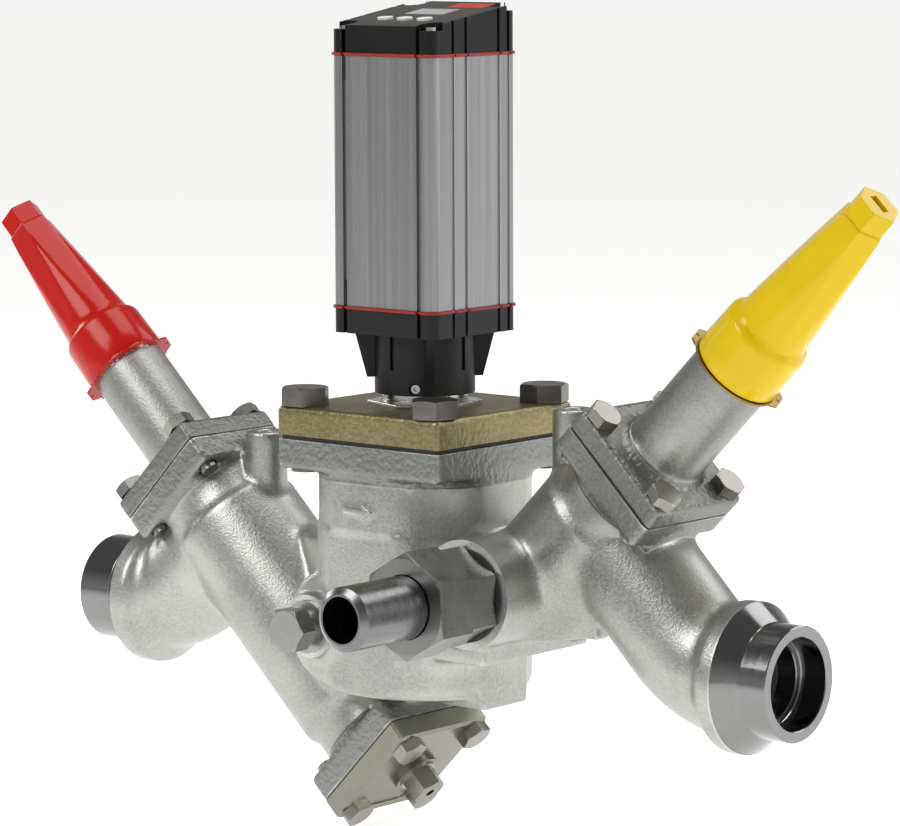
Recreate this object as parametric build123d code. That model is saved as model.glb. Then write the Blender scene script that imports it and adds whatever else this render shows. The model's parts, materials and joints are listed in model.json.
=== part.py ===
from build123d import *
import os
from math import atan, cos, degrees, radians, sin, sqrt, tan

# Valve station: inlet stop valve, strainer, motor valve and outlet stop valve in one casting.
# Origin: centre of the inlet socket's mouth. +X runs to the outlet, +Z is up, -Y is the port side.
# All sizes are millimetres.

# Pipe ends
face_to_face = 491.0
end_ring_radius = 30.5
inlet_ring_length = 23.0
outlet_ring_length = 17.0
end_cone_length = 11.0
end_bead_radius = 40.2
end_bead_length = 9.0
pipe_diameter = 48.3
socket_play = 0.25
socket_depth = 16.0
passage_radius = 20.5
elbow_radius = 33.2
elbow_bend = 60.0
inlet_leg_x = 57.0
inlet_reach = 62.5
outlet_leg_x = 435.8
outlet_reach = 101.5

# Barrel A carries the inlet stop valve above and the strainer below, barrel B the outlet stop valve
barrel_radius = 38.0
barrel_neck_radius = 34.5
barrel_neck_length = 18.0
inlet_port_x = 71.2
inlet_port_z = 73.1
barrel_a_angle = 43.9
barrel_a_length = 206.7
outlet_port_x = 394.0
outlet_port_z = 102.8
barrel_b_angle = 45.5
chamber_radius = 27.0
seat_depth = 64.0
seat_bore_radius = 19.5
seat_wall = 9.0

# Square flanges of the three small ports
small_flange_margin = 17.5
small_flange_thickness = 15.4
small_corner_radius = 3.0
small_bolt_pitch = 55.0
small_bolt_radius = 5.0
small_head_across = 16.0
small_head_height = 6.4
small_bolt_overhang = 2.5
small_bolt_inset = 2.0
small_gasket = 0.8
small_gasket_inset = 0.5
small_plate = 12.3
cover_spigot = 9.0
rim_chamfer = 1.6
head_chamfer = 1.6
bolt_turns = (4.0, 19.0, 43.0, 52.0)
fit_play = 0.2
thread_play = 0.1

# Motor valve port and column
column_x = 239.5
port_height = 108.5
column_upper_radius = 58.6
column_lower_radius = 59.6
column_shoulder_z = 61.0
column_step_z = -8.0
column_bottom_z = -29.5
column_bottom_fillet = 6.0
column_bore_radius = 36.0
lower_chamber_radius = 32.0
lower_chamber_z = -21.0
annulus_radius = 44.0
annulus_bottom_z = 30.0
annulus_top_z = 66.0
strainer_passage_radius = 17.0
strainer_passage_z = -4.0
outlet_passage_radius = 18.0
outlet_passage_z = 38.0
outlet_bore_radius = 22.0
outlet_bore_depth = 104.0
upper_pad_offset = 55.6
lower_pad_offset = 54.4
arrow_z = 73.0
arrow_length = 20.0
arrow_head = 7.0
arrow_spread = 8.0
arrow_shaft = 3.0
arrow_relief = 0.8
big_flange_margin = 22.6
big_flange_thickness = 16.6
big_corner_radius = 2.5
big_bolt_pitch = 93.0
big_bolt_radius = 8.0
big_head_across = 24.0
big_head_height = 10.0
big_bolt_overhang = 1.6
big_gasket = 2.4
big_gasket_inset = 1.5
big_plate = 15.8

# Lower body: ledge toward the outlet, foot block and the web to barrel A
ledge_end_x = 318.0
ledge_half_width = 46.0
ledge_bottom_z = -5.0
ledge_thickness = 14.0
ledge_chamfer = 4.0
ledge_thick_width = 76.0
lip_thickness = 5.0
foot_face_x = 297.0
foot_half_width = 19.0
foot_bottom_z = -35.5
rib_bottom_z = 9.0
rib_width = 12.0
rib_height = 24.0
web_top_z = 48.0
web_tip = 5.0
web_half_width = 25.0

# Side port with union, and side plug
side_port_x = 320.5
side_port_z = 37.0
side_face_y = -64.0
side_boss_radius = 29.5
side_thread_radius = 17.0
side_thread_depth = 14.0
nipple_end_radius = 21.0
nipple_end_length = 13.8
side_bore_radius = 12.2
side_washer_thickness = 1.6
side_washer_radius = 27.5
nipple_hex_length = 20.5
union_across = 50.0
nipple_across = 46.0
nipple_corner_radius = 24.9
union_length = 26.0
union_play = 0.4
union_chamfer = 3.6
plug_chamfer = 1.5
stub_diameter = 33.7
stub_visible = 50.0
stub_collar_radius = 20.0
stub_collar_length = 6.0
stub_land = 1.2
stub_relief = 0.4
stub_relief_reach = 1.0
bevel_angle = 37.5
chamber_boss_x = 214.0
chamber_boss_z = 5.0
chamber_boss_radius = 34.0
chamber_boss_y = -51.0
chamber_boss_fillet = 7.0
plug_x = 203.5
plug_z = 6.3
plug_boss_radius = 17.5
plug_boss_y = -58.0
plug_washer_radius = 14.6
plug_washer_thickness = 2.0
plug_across = 22.0
plug_head_length = 11.0
plug_neck_radius = 9.5
plug_neck_length = 5.0
plug_thread_radius = 9.0
plug_thread_length = 12.0
plug_bore_radius = 6.0
plug_bore_depth = 48.0

# Threaded service bosses beside the two stop valves
service_boss_radius = 11.8
service_boss_offset = 50.0
service_boss_rise = 29.2
service_boss_length = 62.0
service_hole_radius = 5.1
service_hole_depth = 18.0
service_web_width = 13.0
service_web_inner = 30.8
service_web_top = 18.8
service_web_bottom = -15.0

# Stop valve bonnets and what is in them
bonnet_neck_radius = 22.0
bonnet_neck_fillet = 6.0
bonnet_seat_radius = 20.2
skirt_end = 82.2
cap_thread_radius = 18.4
cap_thread_length = 16.0
packing_bore_radius = 11.0
packing_bore_depth = 20.0
packing_height = 11.0
gland_across = 27.0
gland_hex_height = 7.0
spindle_radius = 7.0
spindle_play = 0.15
spindle_end_length = 38.0
spindle_pocket = 10.0
spindle_square = 9.5
spindle_square_length = 15.0
valve_stroke = 20.0
cone_radius = 24.0
cone_nose_radius = 19.2
cone_nose_height = 4.0
cone_height = 9.0
cone_hub_radius = 13.0
cone_hub_height = 13.0
seal_outer = 23.4
seal_height = 4.0
seal_proud = 1.0
seat_clearance = 0.1

# Screw-on caps and their seal plates
cap_skirt_radius = 24.6
cap_shoulder_radius = 23.9
cap_skirt_length = 27.5
cap_shoulder_rise = 5.0
cap_shoulder_round = 1.0
cap_cone_base_radius = 20.4
cap_cone_tip_radius = 14.0
cap_hex_start = 110.8
cap_facet_across = 23.2
cap_length = 123.5
cap_hex_across = 21.5
cap_wall = 2.4
cap_chamber_radius = 17.0
cap_tip_cavity_radius = 9.5
cap_tip_wall = 7.0
cap_play = 0.4
cap_slot_length = 11.0
cap_slot_width = 5.0
cap_slot_depth = 6.0
cap_seat_height = 7.0
seal_plate_thickness = 1.2
seal_plate_gap = 0.4
seal_plate_rim = 25.6
seal_wing_reach = 28.2
seal_wing_width = 17.0
seal_wing_hole = 1.1
seal_wing_hole_reach = 26.6
seal_scallops = 22
seal_scallop_radius = 1.5
red_wing_angle = 38.0
yellow_wing_angle = 25.0

# Strainer cover and insert
strainer_radius = 23.6
strainer_ring_height = 7.0
strainer_ring_wall = 3.0
strainer_bar_count = 6
strainer_bar_width = 5.0
strainer_bar_wall = 1.8
mesh_wall = 0.6
drain_neck_radius = 13.6
drain_neck_height = 4.0
drain_thread_radius = 8.0
drain_thread_length = 11.0
drain_bore_radius = 3.0
drain_washer = 1.0
drain_washer_radius = 11.0
drain_across = 17.5
drain_head_length = 12.0
drain_recess_radius = 2.6
drain_recess_depth = 5.0
label_length = 34.0
label_width = 14.0
label_depth = 0.6
label_shift = 22.5

# Motor valve trim
cage_wall = 5.5
cage_seat_z = 18.0
cage_seat_thickness = 8.0
cage_seat_radius = 17.0
cage_window_count = 4
cage_window_height = 26.0
cage_window_width = 26.0
cage_window_z = 34.0
cage_bottom_z = 14.0
clamp_gap = 0.1
motor_stroke = 13.0
motor_spindle_radius = 5.0
motor_plug_radius = 19.5
motor_plug_z = 26.3
motor_plug_height = 7.0
motor_piston_z = 62.0
motor_piston_height = 26.0
motor_bore_floor = 4.0
motor_spindle_gap = 1.0
motor_stem_radius = 11.0
motor_cover_spigot = 5.0
thrust_collar_radius = 9.0
thrust_collar_height = 4.0

# Actuator on its adapter
adapter_across = 55.0
adapter_hex_height = 5.0
adapter_ring_radius = 24.0
adapter_ring_height = 1.7
adapter_tube_radius = 15.0
adapter_tube_wall = 1.5
adapter_tube_top = 60.0
adapter_boss_radius = 20.8
adapter_boss_height = 9.6
adapter_thread_radius = 18.0
adapter_thread_length = 10.0
magnet_radius = 12.5
magnet_height = 26.0
magnet_z = 148.0
collar_radius = 27.6
collar_height = 33.2
rib_foot_radius = 31.8
rib_top_radius = 38.3
rib_start = 8.4
rib_thickness = 4.6
collar_bore_radius = 21.0
collar_slot_width = 2.6
collar_slot_depth = 1.6
collar_slot_start = 13.6
actuator_x_size = 73.4
actuator_y_size = 71.4
actuator_corner = 6.0
front_groove_offset = 26.3
front_groove_width = 2.6
groove_depth = 2.2
side_groove_places = (-19.0, -8.2, 19.3, 27.6)
side_groove_width = 2.2
side_groove_depth = 1.0
actuator_wall = 3.2
lower_cap_height = 13.2
lower_cap_floor = 3.0
seal_cord = 1.6
seal_bulge = 1.3
housing_height = 136.0
top_front_height = 14.8
top_back_height = 26.0
corner_pocket_radius = 6.6
corner_pocket_depth = 2.2
top_screw_radius = 3.4
top_screw_height = 1.8
top_screw_shank = 1.9
top_screw_length = 12.0
corner_screw_inset = 6.2
screw_boss_radius = 4.4
set_screw_radius = 2.4
set_screw_recess = 3.4
set_screw_recess_depth = 1.6
set_screw_socket = 1.2
set_screw_angle = 29.0
set_screw_height = 3.8
panel_thickness = 0.8
display_length = 27.5
display_width = 16.0
display_place = (1.0, 6.5)
display_depth = 2.4
panel_inset = 3.0
key_length = 9.8
key_width = 6.8
key_places = (-12.8, 1.0, 15.2)
key_row = -16.8
key_travel = 0.4
key_proud = 1.0
key_play = 0.2
key_flange = 1.2
key_flange_height = 1.0
key_flange_gap = 0.1
rotor_wall = 3.0
rotor_play = 0.6
motor_radius = 24.0
motor_body_height = 54.0
motor_shaft_radius = 4.0
motor_shaft_reach = 18.0
motor_shaft_play = 0.1
bracket_thickness = 3.0
bracket_x_size = 52.0
bracket_y_size = 50.0
bracket_post_radius = 3.2
bracket_bore_radius = 9.0
bracket_gap = 2.0
board_thickness = 1.6
board_boss_gap = 2.3
board_bottom = 74.0
board_height = 58.0
board_play = 0.2
rail_depth = 3.0
rail_width = 1.6
keypad_length = 56.0
keypad_width = 34.0
keypad_thickness = 1.2
keypad_post_radius = 2.0
keypad_drop = 4.4
keypad_shift = 3.2
connector_radius = 7.5
connector_length = 11.0
connector_spacing = 26.0
standing = (Align.CENTER, Align.CENTER, Align.MIN)


def facing_front(x, y, z):
    """Frame at a point whose local Z axis looks toward the port side."""
    return Plane(origin=(x, y, z), x_dir=(1, 0, 0), z_dir=(0, -1, 0)).location


def along_pipe(x, inward, z):
    """Frame at a point of the middle plane whose local Z axis runs along the pipe."""
    return Plane(origin=(x, 0, z), z_dir=(inward, 0, 0)).location


def ring(outer, inner, bottom, top):
    """Plain ring round the local Z axis between two heights."""
    return disc(outer, bottom, top) - disc(inner, bottom, top)


def flat_washer(outer, thread, seat, thickness):
    """Flat washer lying on a seat, with play round the thread through it."""
    return ring(outer, thread + thread_play, seat, seat + thickness)


def disc(radius, bottom, top):
    """Round bar along the local Z axis between two heights."""
    return Pos(0, 0, bottom) * Cylinder(radius, top - bottom, align=standing)


def block(x_size, y_size, bottom, top):
    """Rectangular block centred on the local Z axis between two heights."""
    return Pos(0, 0, bottom) * Box(x_size, y_size, top - bottom, align=standing)


def hex_bar(across, bottom, top):
    """Hexagonal bar along the local Z axis, given across its flats."""
    outline = RegularPolygon(across / 2, 6, major_radius=False)
    return Pos(0, 0, bottom) * extrude(outline, top - bottom)


def crowned_hex(across, bottom, top, rim):
    """Hexagonal bar whose upper corners are turned off by a rim chamfer."""
    corner = across / sqrt(3)
    reach = corner + rim
    crown = turned([(0, bottom), (reach, bottom), (reach, top - rim), (across / 2, top), (0, top)])
    return hex_bar(across, bottom, top) & crown


def square_plate(side, corner, bottom, top):
    """Square plate with rounded corners along the local Z axis."""
    return Pos(0, 0, bottom) * extrude(RectangleRounded(side, side, corner), top - bottom)


def corners(pitch):
    """The four corner places of a square bolt pattern."""
    return [Pos(sx * pitch / 2, sy * pitch / 2, 0) for sx in (-1, 1) for sy in (-1, 1)]


def turned(points):
    """Body of revolution about the local Z axis from (radius, height) points."""
    outline = make_face(Polyline([(r, 0, z) for r, z in points], close=True))
    return revolve(outline, Axis.Z)


def hex_bolt(radius, length, across, head):
    """Bolt with its shank below the local XY plane and a chamfered hexagon head above it."""
    return crowned_hex(across, 0, head, head_chamfer) + disc(radius, -length, 0)


def bolt_set(pitch, seat, bolt):
    """Four equal bolts on a square pattern, their heads turned as they happened to be tightened."""
    places = zip(corners(pitch), bolt_turns)
    placed = [Pos(0, 0, seat) * corner * Rot(0, 0, turn) * bolt for corner, turn in places]
    return Compound(children=placed)


# Port frames: local Z points out of the port, local Y is the station's +Y
slope = sqrt(0.5)
barrel_a_run = cos(radians(barrel_a_angle))
barrel_a_drop = sin(radians(barrel_a_angle))
barrel_b_run = cos(radians(barrel_b_angle))
barrel_b_rise = sin(radians(barrel_b_angle))
inlet_frame = Plane(
    origin=(inlet_port_x, 0, inlet_port_z),
    x_dir=(barrel_a_drop, 0, barrel_a_run),
    z_dir=(-barrel_a_run, 0, barrel_a_drop),
).location
strainer_frame = Plane(
    origin=(
        inlet_port_x + barrel_a_length * barrel_a_run,
        0,
        inlet_port_z - barrel_a_length * barrel_a_drop,
    ),
    x_dir=(-barrel_a_drop, 0, -barrel_a_run),
    z_dir=(barrel_a_run, 0, -barrel_a_drop),
).location
outlet_frame = Plane(
    origin=(outlet_port_x, 0, outlet_port_z),
    x_dir=(barrel_b_rise, 0, -barrel_b_run),
    z_dir=(barrel_b_run, 0, barrel_b_rise),
).location
column_frame = Location((column_x, 0, 0))
side_frame = facing_front(side_port_x, side_face_y, side_port_z)
plug_frame = facing_front(plug_x, plug_boss_y, plug_z)

# Lengths worked out from the sizes above
barrel_a_x = inlet_port_x + inlet_port_z * barrel_a_run / barrel_a_drop
barrel_b_x = outlet_port_x - outlet_port_z * barrel_b_run / barrel_b_rise
strainer_depth = barrel_a_length - seat_depth - seat_wall
shoulder_depth = small_flange_thickness + barrel_neck_length + barrel_radius - barrel_neck_radius
small_flange = small_bolt_pitch + small_flange_margin
big_flange = big_bolt_pitch + big_flange_margin
plate_top = small_gasket + small_plate
small_bolt_length = plate_top + small_flange_thickness + small_bolt_overhang
big_bolt_length = big_gasket + big_plate + big_flange_thickness + big_bolt_overhang
cover_top_z = port_height + big_gasket + big_plate
ring_bottom_z = cover_top_z + adapter_hex_height
collar_bottom_z = ring_bottom_z + adapter_ring_height
lower_cap_z = collar_bottom_z + collar_height
lower_seal_z = lower_cap_z + lower_cap_height
housing_z = lower_seal_z + seal_cord
upper_seal_z = housing_z + housing_height
top_cap_z = upper_seal_z + seal_cord
boss_face = actuator_y_size / 2 - corner_screw_inset - screw_boss_radius
board_place = boss_face - board_boss_gap - board_thickness / 2
top_rise = top_back_height - top_front_height
top_slope = degrees(atan(top_rise / actuator_y_size))
top_middle_z = top_cap_z + (top_front_height + top_back_height) / 2
panel_frame = Location((column_x, 0, top_middle_z), (top_slope, 0, 0))


def elbow(mouth_x, inward, leg_x, reach, radius):
    """Round bar that follows a pipe from a start, round the bend and up to a barrel's axis."""
    leg_end = (leg_x + inward * reach * slope, 0, reach * slope)
    path = FilletPolyline((mouth_x, 0, 0), (leg_x, 0, 0), leg_end, radius=elbow_bend)
    section = Plane(origin=(mouth_x, 0, 0), z_dir=(inward, 0, 0)) * Circle(radius)
    return sweep(section, path)


def pipe_end(mouth_x, inward, ring_length):
    """Turned ring, cone and bead at a pipe mouth, with the start of the elbow behind it."""
    cone_end = ring_length + end_cone_length
    bead_end = cone_end + end_bead_length
    neck_start = bead_end + end_bead_radius - elbow_radius
    points = [
        (0, 0),
        (end_ring_radius, 0),
        (end_ring_radius, ring_length),
        (end_bead_radius, cone_end),
        (end_bead_radius, bead_end),
        (elbow_radius, neck_start),
        (0, neck_start),
    ]
    return along_pipe(mouth_x, inward, 0) * turned(points)


def barrel_end():
    """Waisted neck below a small flange and the shoulder where it widens to the barrel."""
    neck_end = -small_flange_thickness - barrel_neck_length
    points = [
        (0, 0),
        (barrel_neck_radius, 0),
        (barrel_neck_radius, neck_end),
        (barrel_radius, -shoulder_depth),
        (0, -shoulder_depth),
    ]
    return turned(points)


def small_port_flange():
    """Square port flange with a softened lower rim, its top on the gasket plane."""
    plate = square_plate(small_flange, small_corner_radius, -small_flange_thickness, 0)
    return chamfer(plate.edges().group_by(Axis.Z)[0], rim_chamfer)


def small_port_holes():
    """Threaded bolt holes of a small port, run out through the flange."""
    depth = small_flange_thickness + small_bolt_overhang + small_bolt_inset
    hole = disc(small_bolt_radius + thread_play, -depth, 1)
    return [corner * hole for corner in corners(small_bolt_pitch)]


def barrel_a():
    """Barrel between the inlet stop valve and the strainer, with both of its flanges."""
    long_barrel = disc(barrel_radius, shoulder_depth - barrel_a_length, -shoulder_depth)
    upper = inlet_frame * (barrel_end() + small_port_flange() + long_barrel)
    lower = strainer_frame * (barrel_end() + small_port_flange())
    return upper + lower


def barrel_b():
    """Barrel under the outlet stop valve, cut level just above the ledge."""
    length = outlet_port_z / barrel_b_rise
    long_barrel = disc(barrel_radius, -length - barrel_radius, -shoulder_depth)
    whole = outlet_frame * (barrel_end() + small_port_flange() + long_barrel)
    reach = length + small_flange
    return whole & Pos(barrel_b_x, 0, 0) * block(4 * reach, reach, rib_bottom_z, 2 * reach)


def service_boss(frame, side):
    """Upright threaded boss beside a stop valve flange, with the web that ties it to the flange."""
    origin = frame.position
    boss_x = origin.X + side * service_boss_offset
    top = origin.Z + service_boss_rise
    boss = Pos(boss_x, 0, 0) * disc(service_boss_radius, top - service_boss_length, top)
    web_x = origin.X + side * service_web_inner
    web_z = origin.Z + service_web_top
    low = origin.Z + service_web_bottom
    points = [(web_x, 0, low), (web_x, 0, web_z), (boss_x, 0, web_z), (boss_x, 0, low)]
    web = extrude(make_face(Polyline(points, close=True)), service_web_width / 2, both=True)
    return boss + web


def service_hole(frame, side):
    """Blind threaded hole down the middle of a service boss."""
    origin = frame.position
    top = origin.Z + service_boss_rise
    hole = disc(service_hole_radius, top - service_hole_depth, top + 1)
    return Pos(origin.X + side * service_boss_offset, 0, 0) * hole


def column():
    """Upright housing of the motor valve with flats on its four sides and a shoulder between them."""
    flange_bottom = port_height - big_flange_thickness
    foot = disc(column_upper_radius, column_bottom_z, column_step_z)
    foot = fillet(foot.edges().group_by(Axis.Z)[0], column_bottom_fillet)
    lower = foot + disc(column_lower_radius, column_step_z, column_shoulder_z)
    wide = 2 * column_lower_radius
    lower = lower & block(wide, 2 * lower_pad_offset, column_bottom_z, column_shoulder_z)
    upper = disc(column_upper_radius, column_shoulder_z, flange_bottom + rim_chamfer)
    upper = upper & block(2 * upper_pad_offset, 2 * upper_pad_offset, column_shoulder_z, port_height)
    return column_frame * (lower + upper)


def motor_port_flange():
    """Large square flange of the motor valve port."""
    plate = square_plate(big_flange, big_corner_radius, port_height - big_flange_thickness, port_height)
    return column_frame * chamfer(plate.edges().group_by(Axis.Z)[0], rim_chamfer)


def lower_body():
    """Ledge toward the outlet with its lip, foot block, rib to the elbow and web to barrel A."""
    ledge_length = ledge_end_x - column_x
    middle_x = column_x + ledge_length / 2
    shift = ledge_thick_width / 2 - ledge_half_width
    ledge_top = ledge_bottom_z + ledge_thickness
    thick = block(ledge_length, ledge_thick_width, ledge_bottom_z, ledge_top)
    ledge = Pos(middle_x, shift, 0) * chamfer(thick.edges().group_by(Axis.Z)[-1], ledge_chamfer)
    lip_top = ledge_bottom_z + lip_thickness
    lip = Pos(middle_x, 0, 0) * block(ledge_length, 2 * ledge_half_width, ledge_bottom_z, lip_top)
    foot_length = foot_face_x - column_x
    foot = block(foot_length, 2 * foot_half_width, foot_bottom_z, ledge_bottom_z)
    foot = Pos(column_x + foot_length / 2, 0, 0) * foot
    rib_end = outlet_leg_x - outlet_reach * slope
    rib_length = rib_end - middle_x
    rib = block(rib_length, rib_width, rib_bottom_z, rib_bottom_z + rib_height)
    rib = Pos(middle_x + rib_length / 2, 0, 0) * rib
    near = column_x - sqrt(column_lower_radius**2 - web_half_width**2)
    outline = Polyline(
        (column_x, -web_half_width),
        (near, -web_half_width),
        (barrel_a_x, -web_tip),
        (barrel_a_x, web_tip),
        (near, web_half_width),
        (column_x, web_half_width),
        close=True,
    )
    web_bottom = column_bottom_z + column_bottom_fillet
    web = Pos(0, 0, web_bottom) * extrude(make_face(outline), web_top_z - web_bottom)
    return [ledge, lip, foot, rib, web]


def side_bosses():
    """Round boss of the side port, chamber boss beside barrel A and the plug boss on it."""
    side = side_frame * disc(side_boss_radius, side_face_y, 0)
    chamber = disc(chamber_boss_radius, 0, -chamber_boss_y)
    chamber = fillet(chamber.edges().group_by(Axis.Z)[-1], chamber_boss_fillet)
    chamber = facing_front(chamber_boss_x, 0, chamber_boss_z) * chamber
    plug = plug_frame * disc(plug_boss_radius, plug_boss_y, 0)
    return [side, chamber, plug]


def flow_arrow():
    """Raised arrow on the port-side flat, pointing to the outlet."""
    tip = arrow_length / 2
    neck = tip - arrow_head
    points = [
        (-tip, -arrow_shaft / 2),
        (neck, -arrow_shaft / 2),
        (neck, -arrow_spread / 2),
        (tip, 0),
        (neck, arrow_spread / 2),
        (neck, arrow_shaft / 2),
        (-tip, arrow_shaft / 2),
    ]
    face = make_face(Polyline(points, close=True))
    place = facing_front(column_x, -upper_pad_offset, arrow_z)
    return place * Pos(0, 0, -arrow_relief) * extrude(face, 2 * arrow_relief)


def body_cavities():
    """Sockets, elbow passages, valve chambers, column bore and the holes of every port."""
    socket_radius = pipe_diameter / 2 + socket_play
    inlet_socket = along_pipe(0, 1, 0) * disc(socket_radius, 0, socket_depth)
    outlet_socket = along_pipe(face_to_face, -1, 0) * disc(socket_radius, 0, socket_depth)
    upper_chamber = disc(chamber_radius, -seat_depth, 0)
    seat_bore = disc(seat_bore_radius, -seat_depth - seat_wall, -seat_depth)
    strainer_chamber = disc(chamber_radius, -strainer_depth, 0)
    outlet_bore = disc(outlet_bore_radius, -outlet_bore_depth, -seat_depth - seat_wall)
    seat_stack = upper_chamber + seat_bore
    across = column_x - barrel_a_x
    strainer_passage = along_pipe(barrel_a_x, 1, strainer_passage_z)
    strainer_passage = strainer_passage * disc(strainer_passage_radius, 0, across)
    onward = barrel_b_x + outlet_passage_z - column_x
    outlet_passage = along_pipe(column_x, 1, outlet_passage_z) * disc(outlet_passage_radius, 0, onward)
    column_bore = (
        disc(column_bore_radius, cage_bottom_z, port_height)
        + disc(annulus_radius, annulus_bottom_z, annulus_top_z)
        + disc(lower_chamber_radius, lower_chamber_z, cage_bottom_z)
    )
    big_hole = disc(big_bolt_radius + thread_play, port_height - big_flange_thickness - 1, port_height + 1)
    side_bore = disc(side_thread_radius + thread_play, -side_thread_depth - 1, 0)
    side_bore = side_bore + disc(side_bore_radius, side_face_y, 0)
    plug_hole = disc(plug_thread_radius + thread_play, -plug_thread_length - 1, 0)
    plug_hole = plug_hole + disc(plug_bore_radius, -plug_bore_depth, 0)
    small_ports = (inlet_frame, strainer_frame, outlet_frame)
    return [
        inlet_socket,
        outlet_socket,
        elbow(0, 1, inlet_leg_x, inlet_reach, passage_radius),
        elbow(face_to_face, -1, outlet_leg_x, outlet_reach, passage_radius),
        inlet_frame * seat_stack,
        outlet_frame * (seat_stack + outlet_bore),
        strainer_frame * strainer_chamber,
        strainer_passage,
        outlet_passage,
        column_frame * column_bore,
        *[column_frame * corner * big_hole for corner in corners(big_bolt_pitch)],
        *[frame * hole for frame in small_ports for hole in small_port_holes()],
        side_frame * side_bore,
        plug_frame * plug_hole,
        service_hole(inlet_frame, 1),
        service_hole(outlet_frame, -1),
    ]


def valve_body():
    """The whole station casting."""
    inlet_start = inlet_ring_length + end_cone_length / 2
    outlet_start = face_to_face - outlet_ring_length - end_cone_length / 2
    solids = [
        motor_port_flange(),
        barrel_a(),
        barrel_b(),
        elbow(inlet_start, 1, inlet_leg_x, inlet_reach, elbow_radius),
        elbow(outlet_start, -1, outlet_leg_x, outlet_reach, elbow_radius),
        pipe_end(0, 1, inlet_ring_length),
        pipe_end(face_to_face, -1, outlet_ring_length),
        service_boss(inlet_frame, 1),
        service_boss(outlet_frame, -1),
        flow_arrow(),
        *lower_body(),
        *side_bosses(),
    ]
    body = column()
    for solid in solids:
        body = body + solid
    for cavity in body_cavities():
        body = body - cavity
    return body


def small_gasket_sheet():
    """Flat gasket of a small port."""
    sheet = square_plate(small_flange - 2 * small_gasket_inset, small_corner_radius, 0, small_gasket)
    for corner in corners(small_bolt_pitch):
        sheet = sheet - corner * disc(small_bolt_radius + fit_play, 0, small_gasket)
    return sheet - disc(chamber_radius, 0, small_gasket)


def small_cover():
    """Square cover plate of a small port with its spigot and bolt holes."""
    plate = square_plate(small_flange, small_corner_radius, small_gasket, plate_top)
    plate = chamfer(plate.edges().group_by(Axis.Z)[-1], rim_chamfer)
    plate = plate + disc(chamber_radius - fit_play, -cover_spigot, small_gasket)
    for corner in corners(small_bolt_pitch):
        plate = plate - corner * disc(small_bolt_radius + fit_play, 0, plate_top)
    return plate


def small_bolts():
    """The four bolts of a small port."""
    bolt = hex_bolt(small_bolt_radius, small_bolt_length, small_head_across, small_head_height)
    return bolt_set(small_bolt_pitch, plate_top, bolt)


def bonnet():
    """Stop valve bonnet: cover plate, cast neck, cap thread and packing bore."""
    seat_z = skirt_end + cap_seat_height
    thread_top = seat_z + cap_thread_length
    plate_z = skirt_end - seal_plate_gap - seal_plate_thickness
    body = small_cover() + disc(bonnet_neck_radius, plate_top, plate_z)
    circles = body.edges().filter_by(GeomType.CIRCLE)
    root = [edge for edge in circles if abs(edge.radius - bonnet_neck_radius) < 0.01]
    body = fillet(min(root, key=lambda edge: edge.center().Z), bonnet_neck_fillet)
    body = body + disc(bonnet_seat_radius, plate_z, seat_z) + disc(cap_thread_radius, seat_z, thread_top)
    bore = disc(spindle_radius + spindle_play, -cover_spigot, thread_top)
    packing_bore = disc(packing_bore_radius, thread_top - packing_bore_depth, thread_top)
    return body - bore - packing_bore


def packing_ring():
    """Packing at the bottom of the bonnet's packing bore."""
    bottom = skirt_end + cap_seat_height + cap_thread_length - packing_bore_depth
    return ring(packing_bore_radius, spindle_radius + spindle_play, bottom, bottom + packing_height)


def packing_gland():
    """Screwed gland that presses the packing."""
    thread_top = skirt_end + cap_seat_height + cap_thread_length
    bottom = thread_top - packing_bore_depth + packing_height
    shank = disc(packing_bore_radius - thread_play, bottom, thread_top)
    head = crowned_hex(gland_across, thread_top, thread_top + gland_hex_height, head_chamfer)
    return shank + head - disc(spindle_radius + spindle_play, bottom, thread_top + gland_hex_height)


def valve_cone():
    """Stop valve cone in its open position, with the groove for its seal ring."""
    bottom = valve_stroke - seat_depth + seat_clearance + seal_proud
    hub_top = bottom + cone_height + cone_hub_height
    cone = disc(cone_radius, bottom, bottom + cone_height) + disc(cone_hub_radius, bottom, hub_top)
    cone = cone + disc(cone_nose_radius, bottom - cone_nose_height, bottom)
    groove_top = bottom - seal_proud + seal_height
    cone = cone - ring(seal_outer, cone_nose_radius, bottom - cone_nose_height, groove_top)
    return cone - disc(spindle_radius + spindle_play, hub_top - spindle_pocket, hub_top)


def cone_seal():
    """Seal ring in the cone's groove, standing proud toward the seat."""
    bottom = valve_stroke - seat_depth + seat_clearance
    return ring(seal_outer, cone_nose_radius, bottom, bottom + seal_height)


def spindle():
    """Screwed spindle from the cone's pocket to the square end under the cap."""
    cone_top = valve_stroke - seat_depth + seat_clearance + seal_proud + cone_height + cone_hub_height
    bottom = cone_top - spindle_pocket + spindle_play
    gland_top = skirt_end + cap_seat_height + cap_thread_length + gland_hex_height
    square_bottom = gland_top + spindle_end_length - spindle_square_length
    section = RectangleRounded(spindle_square, spindle_square, 1)
    square = Pos(0, 0, square_bottom) * extrude(section, spindle_square_length)
    return disc(spindle_radius, bottom, square_bottom) + square


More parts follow.
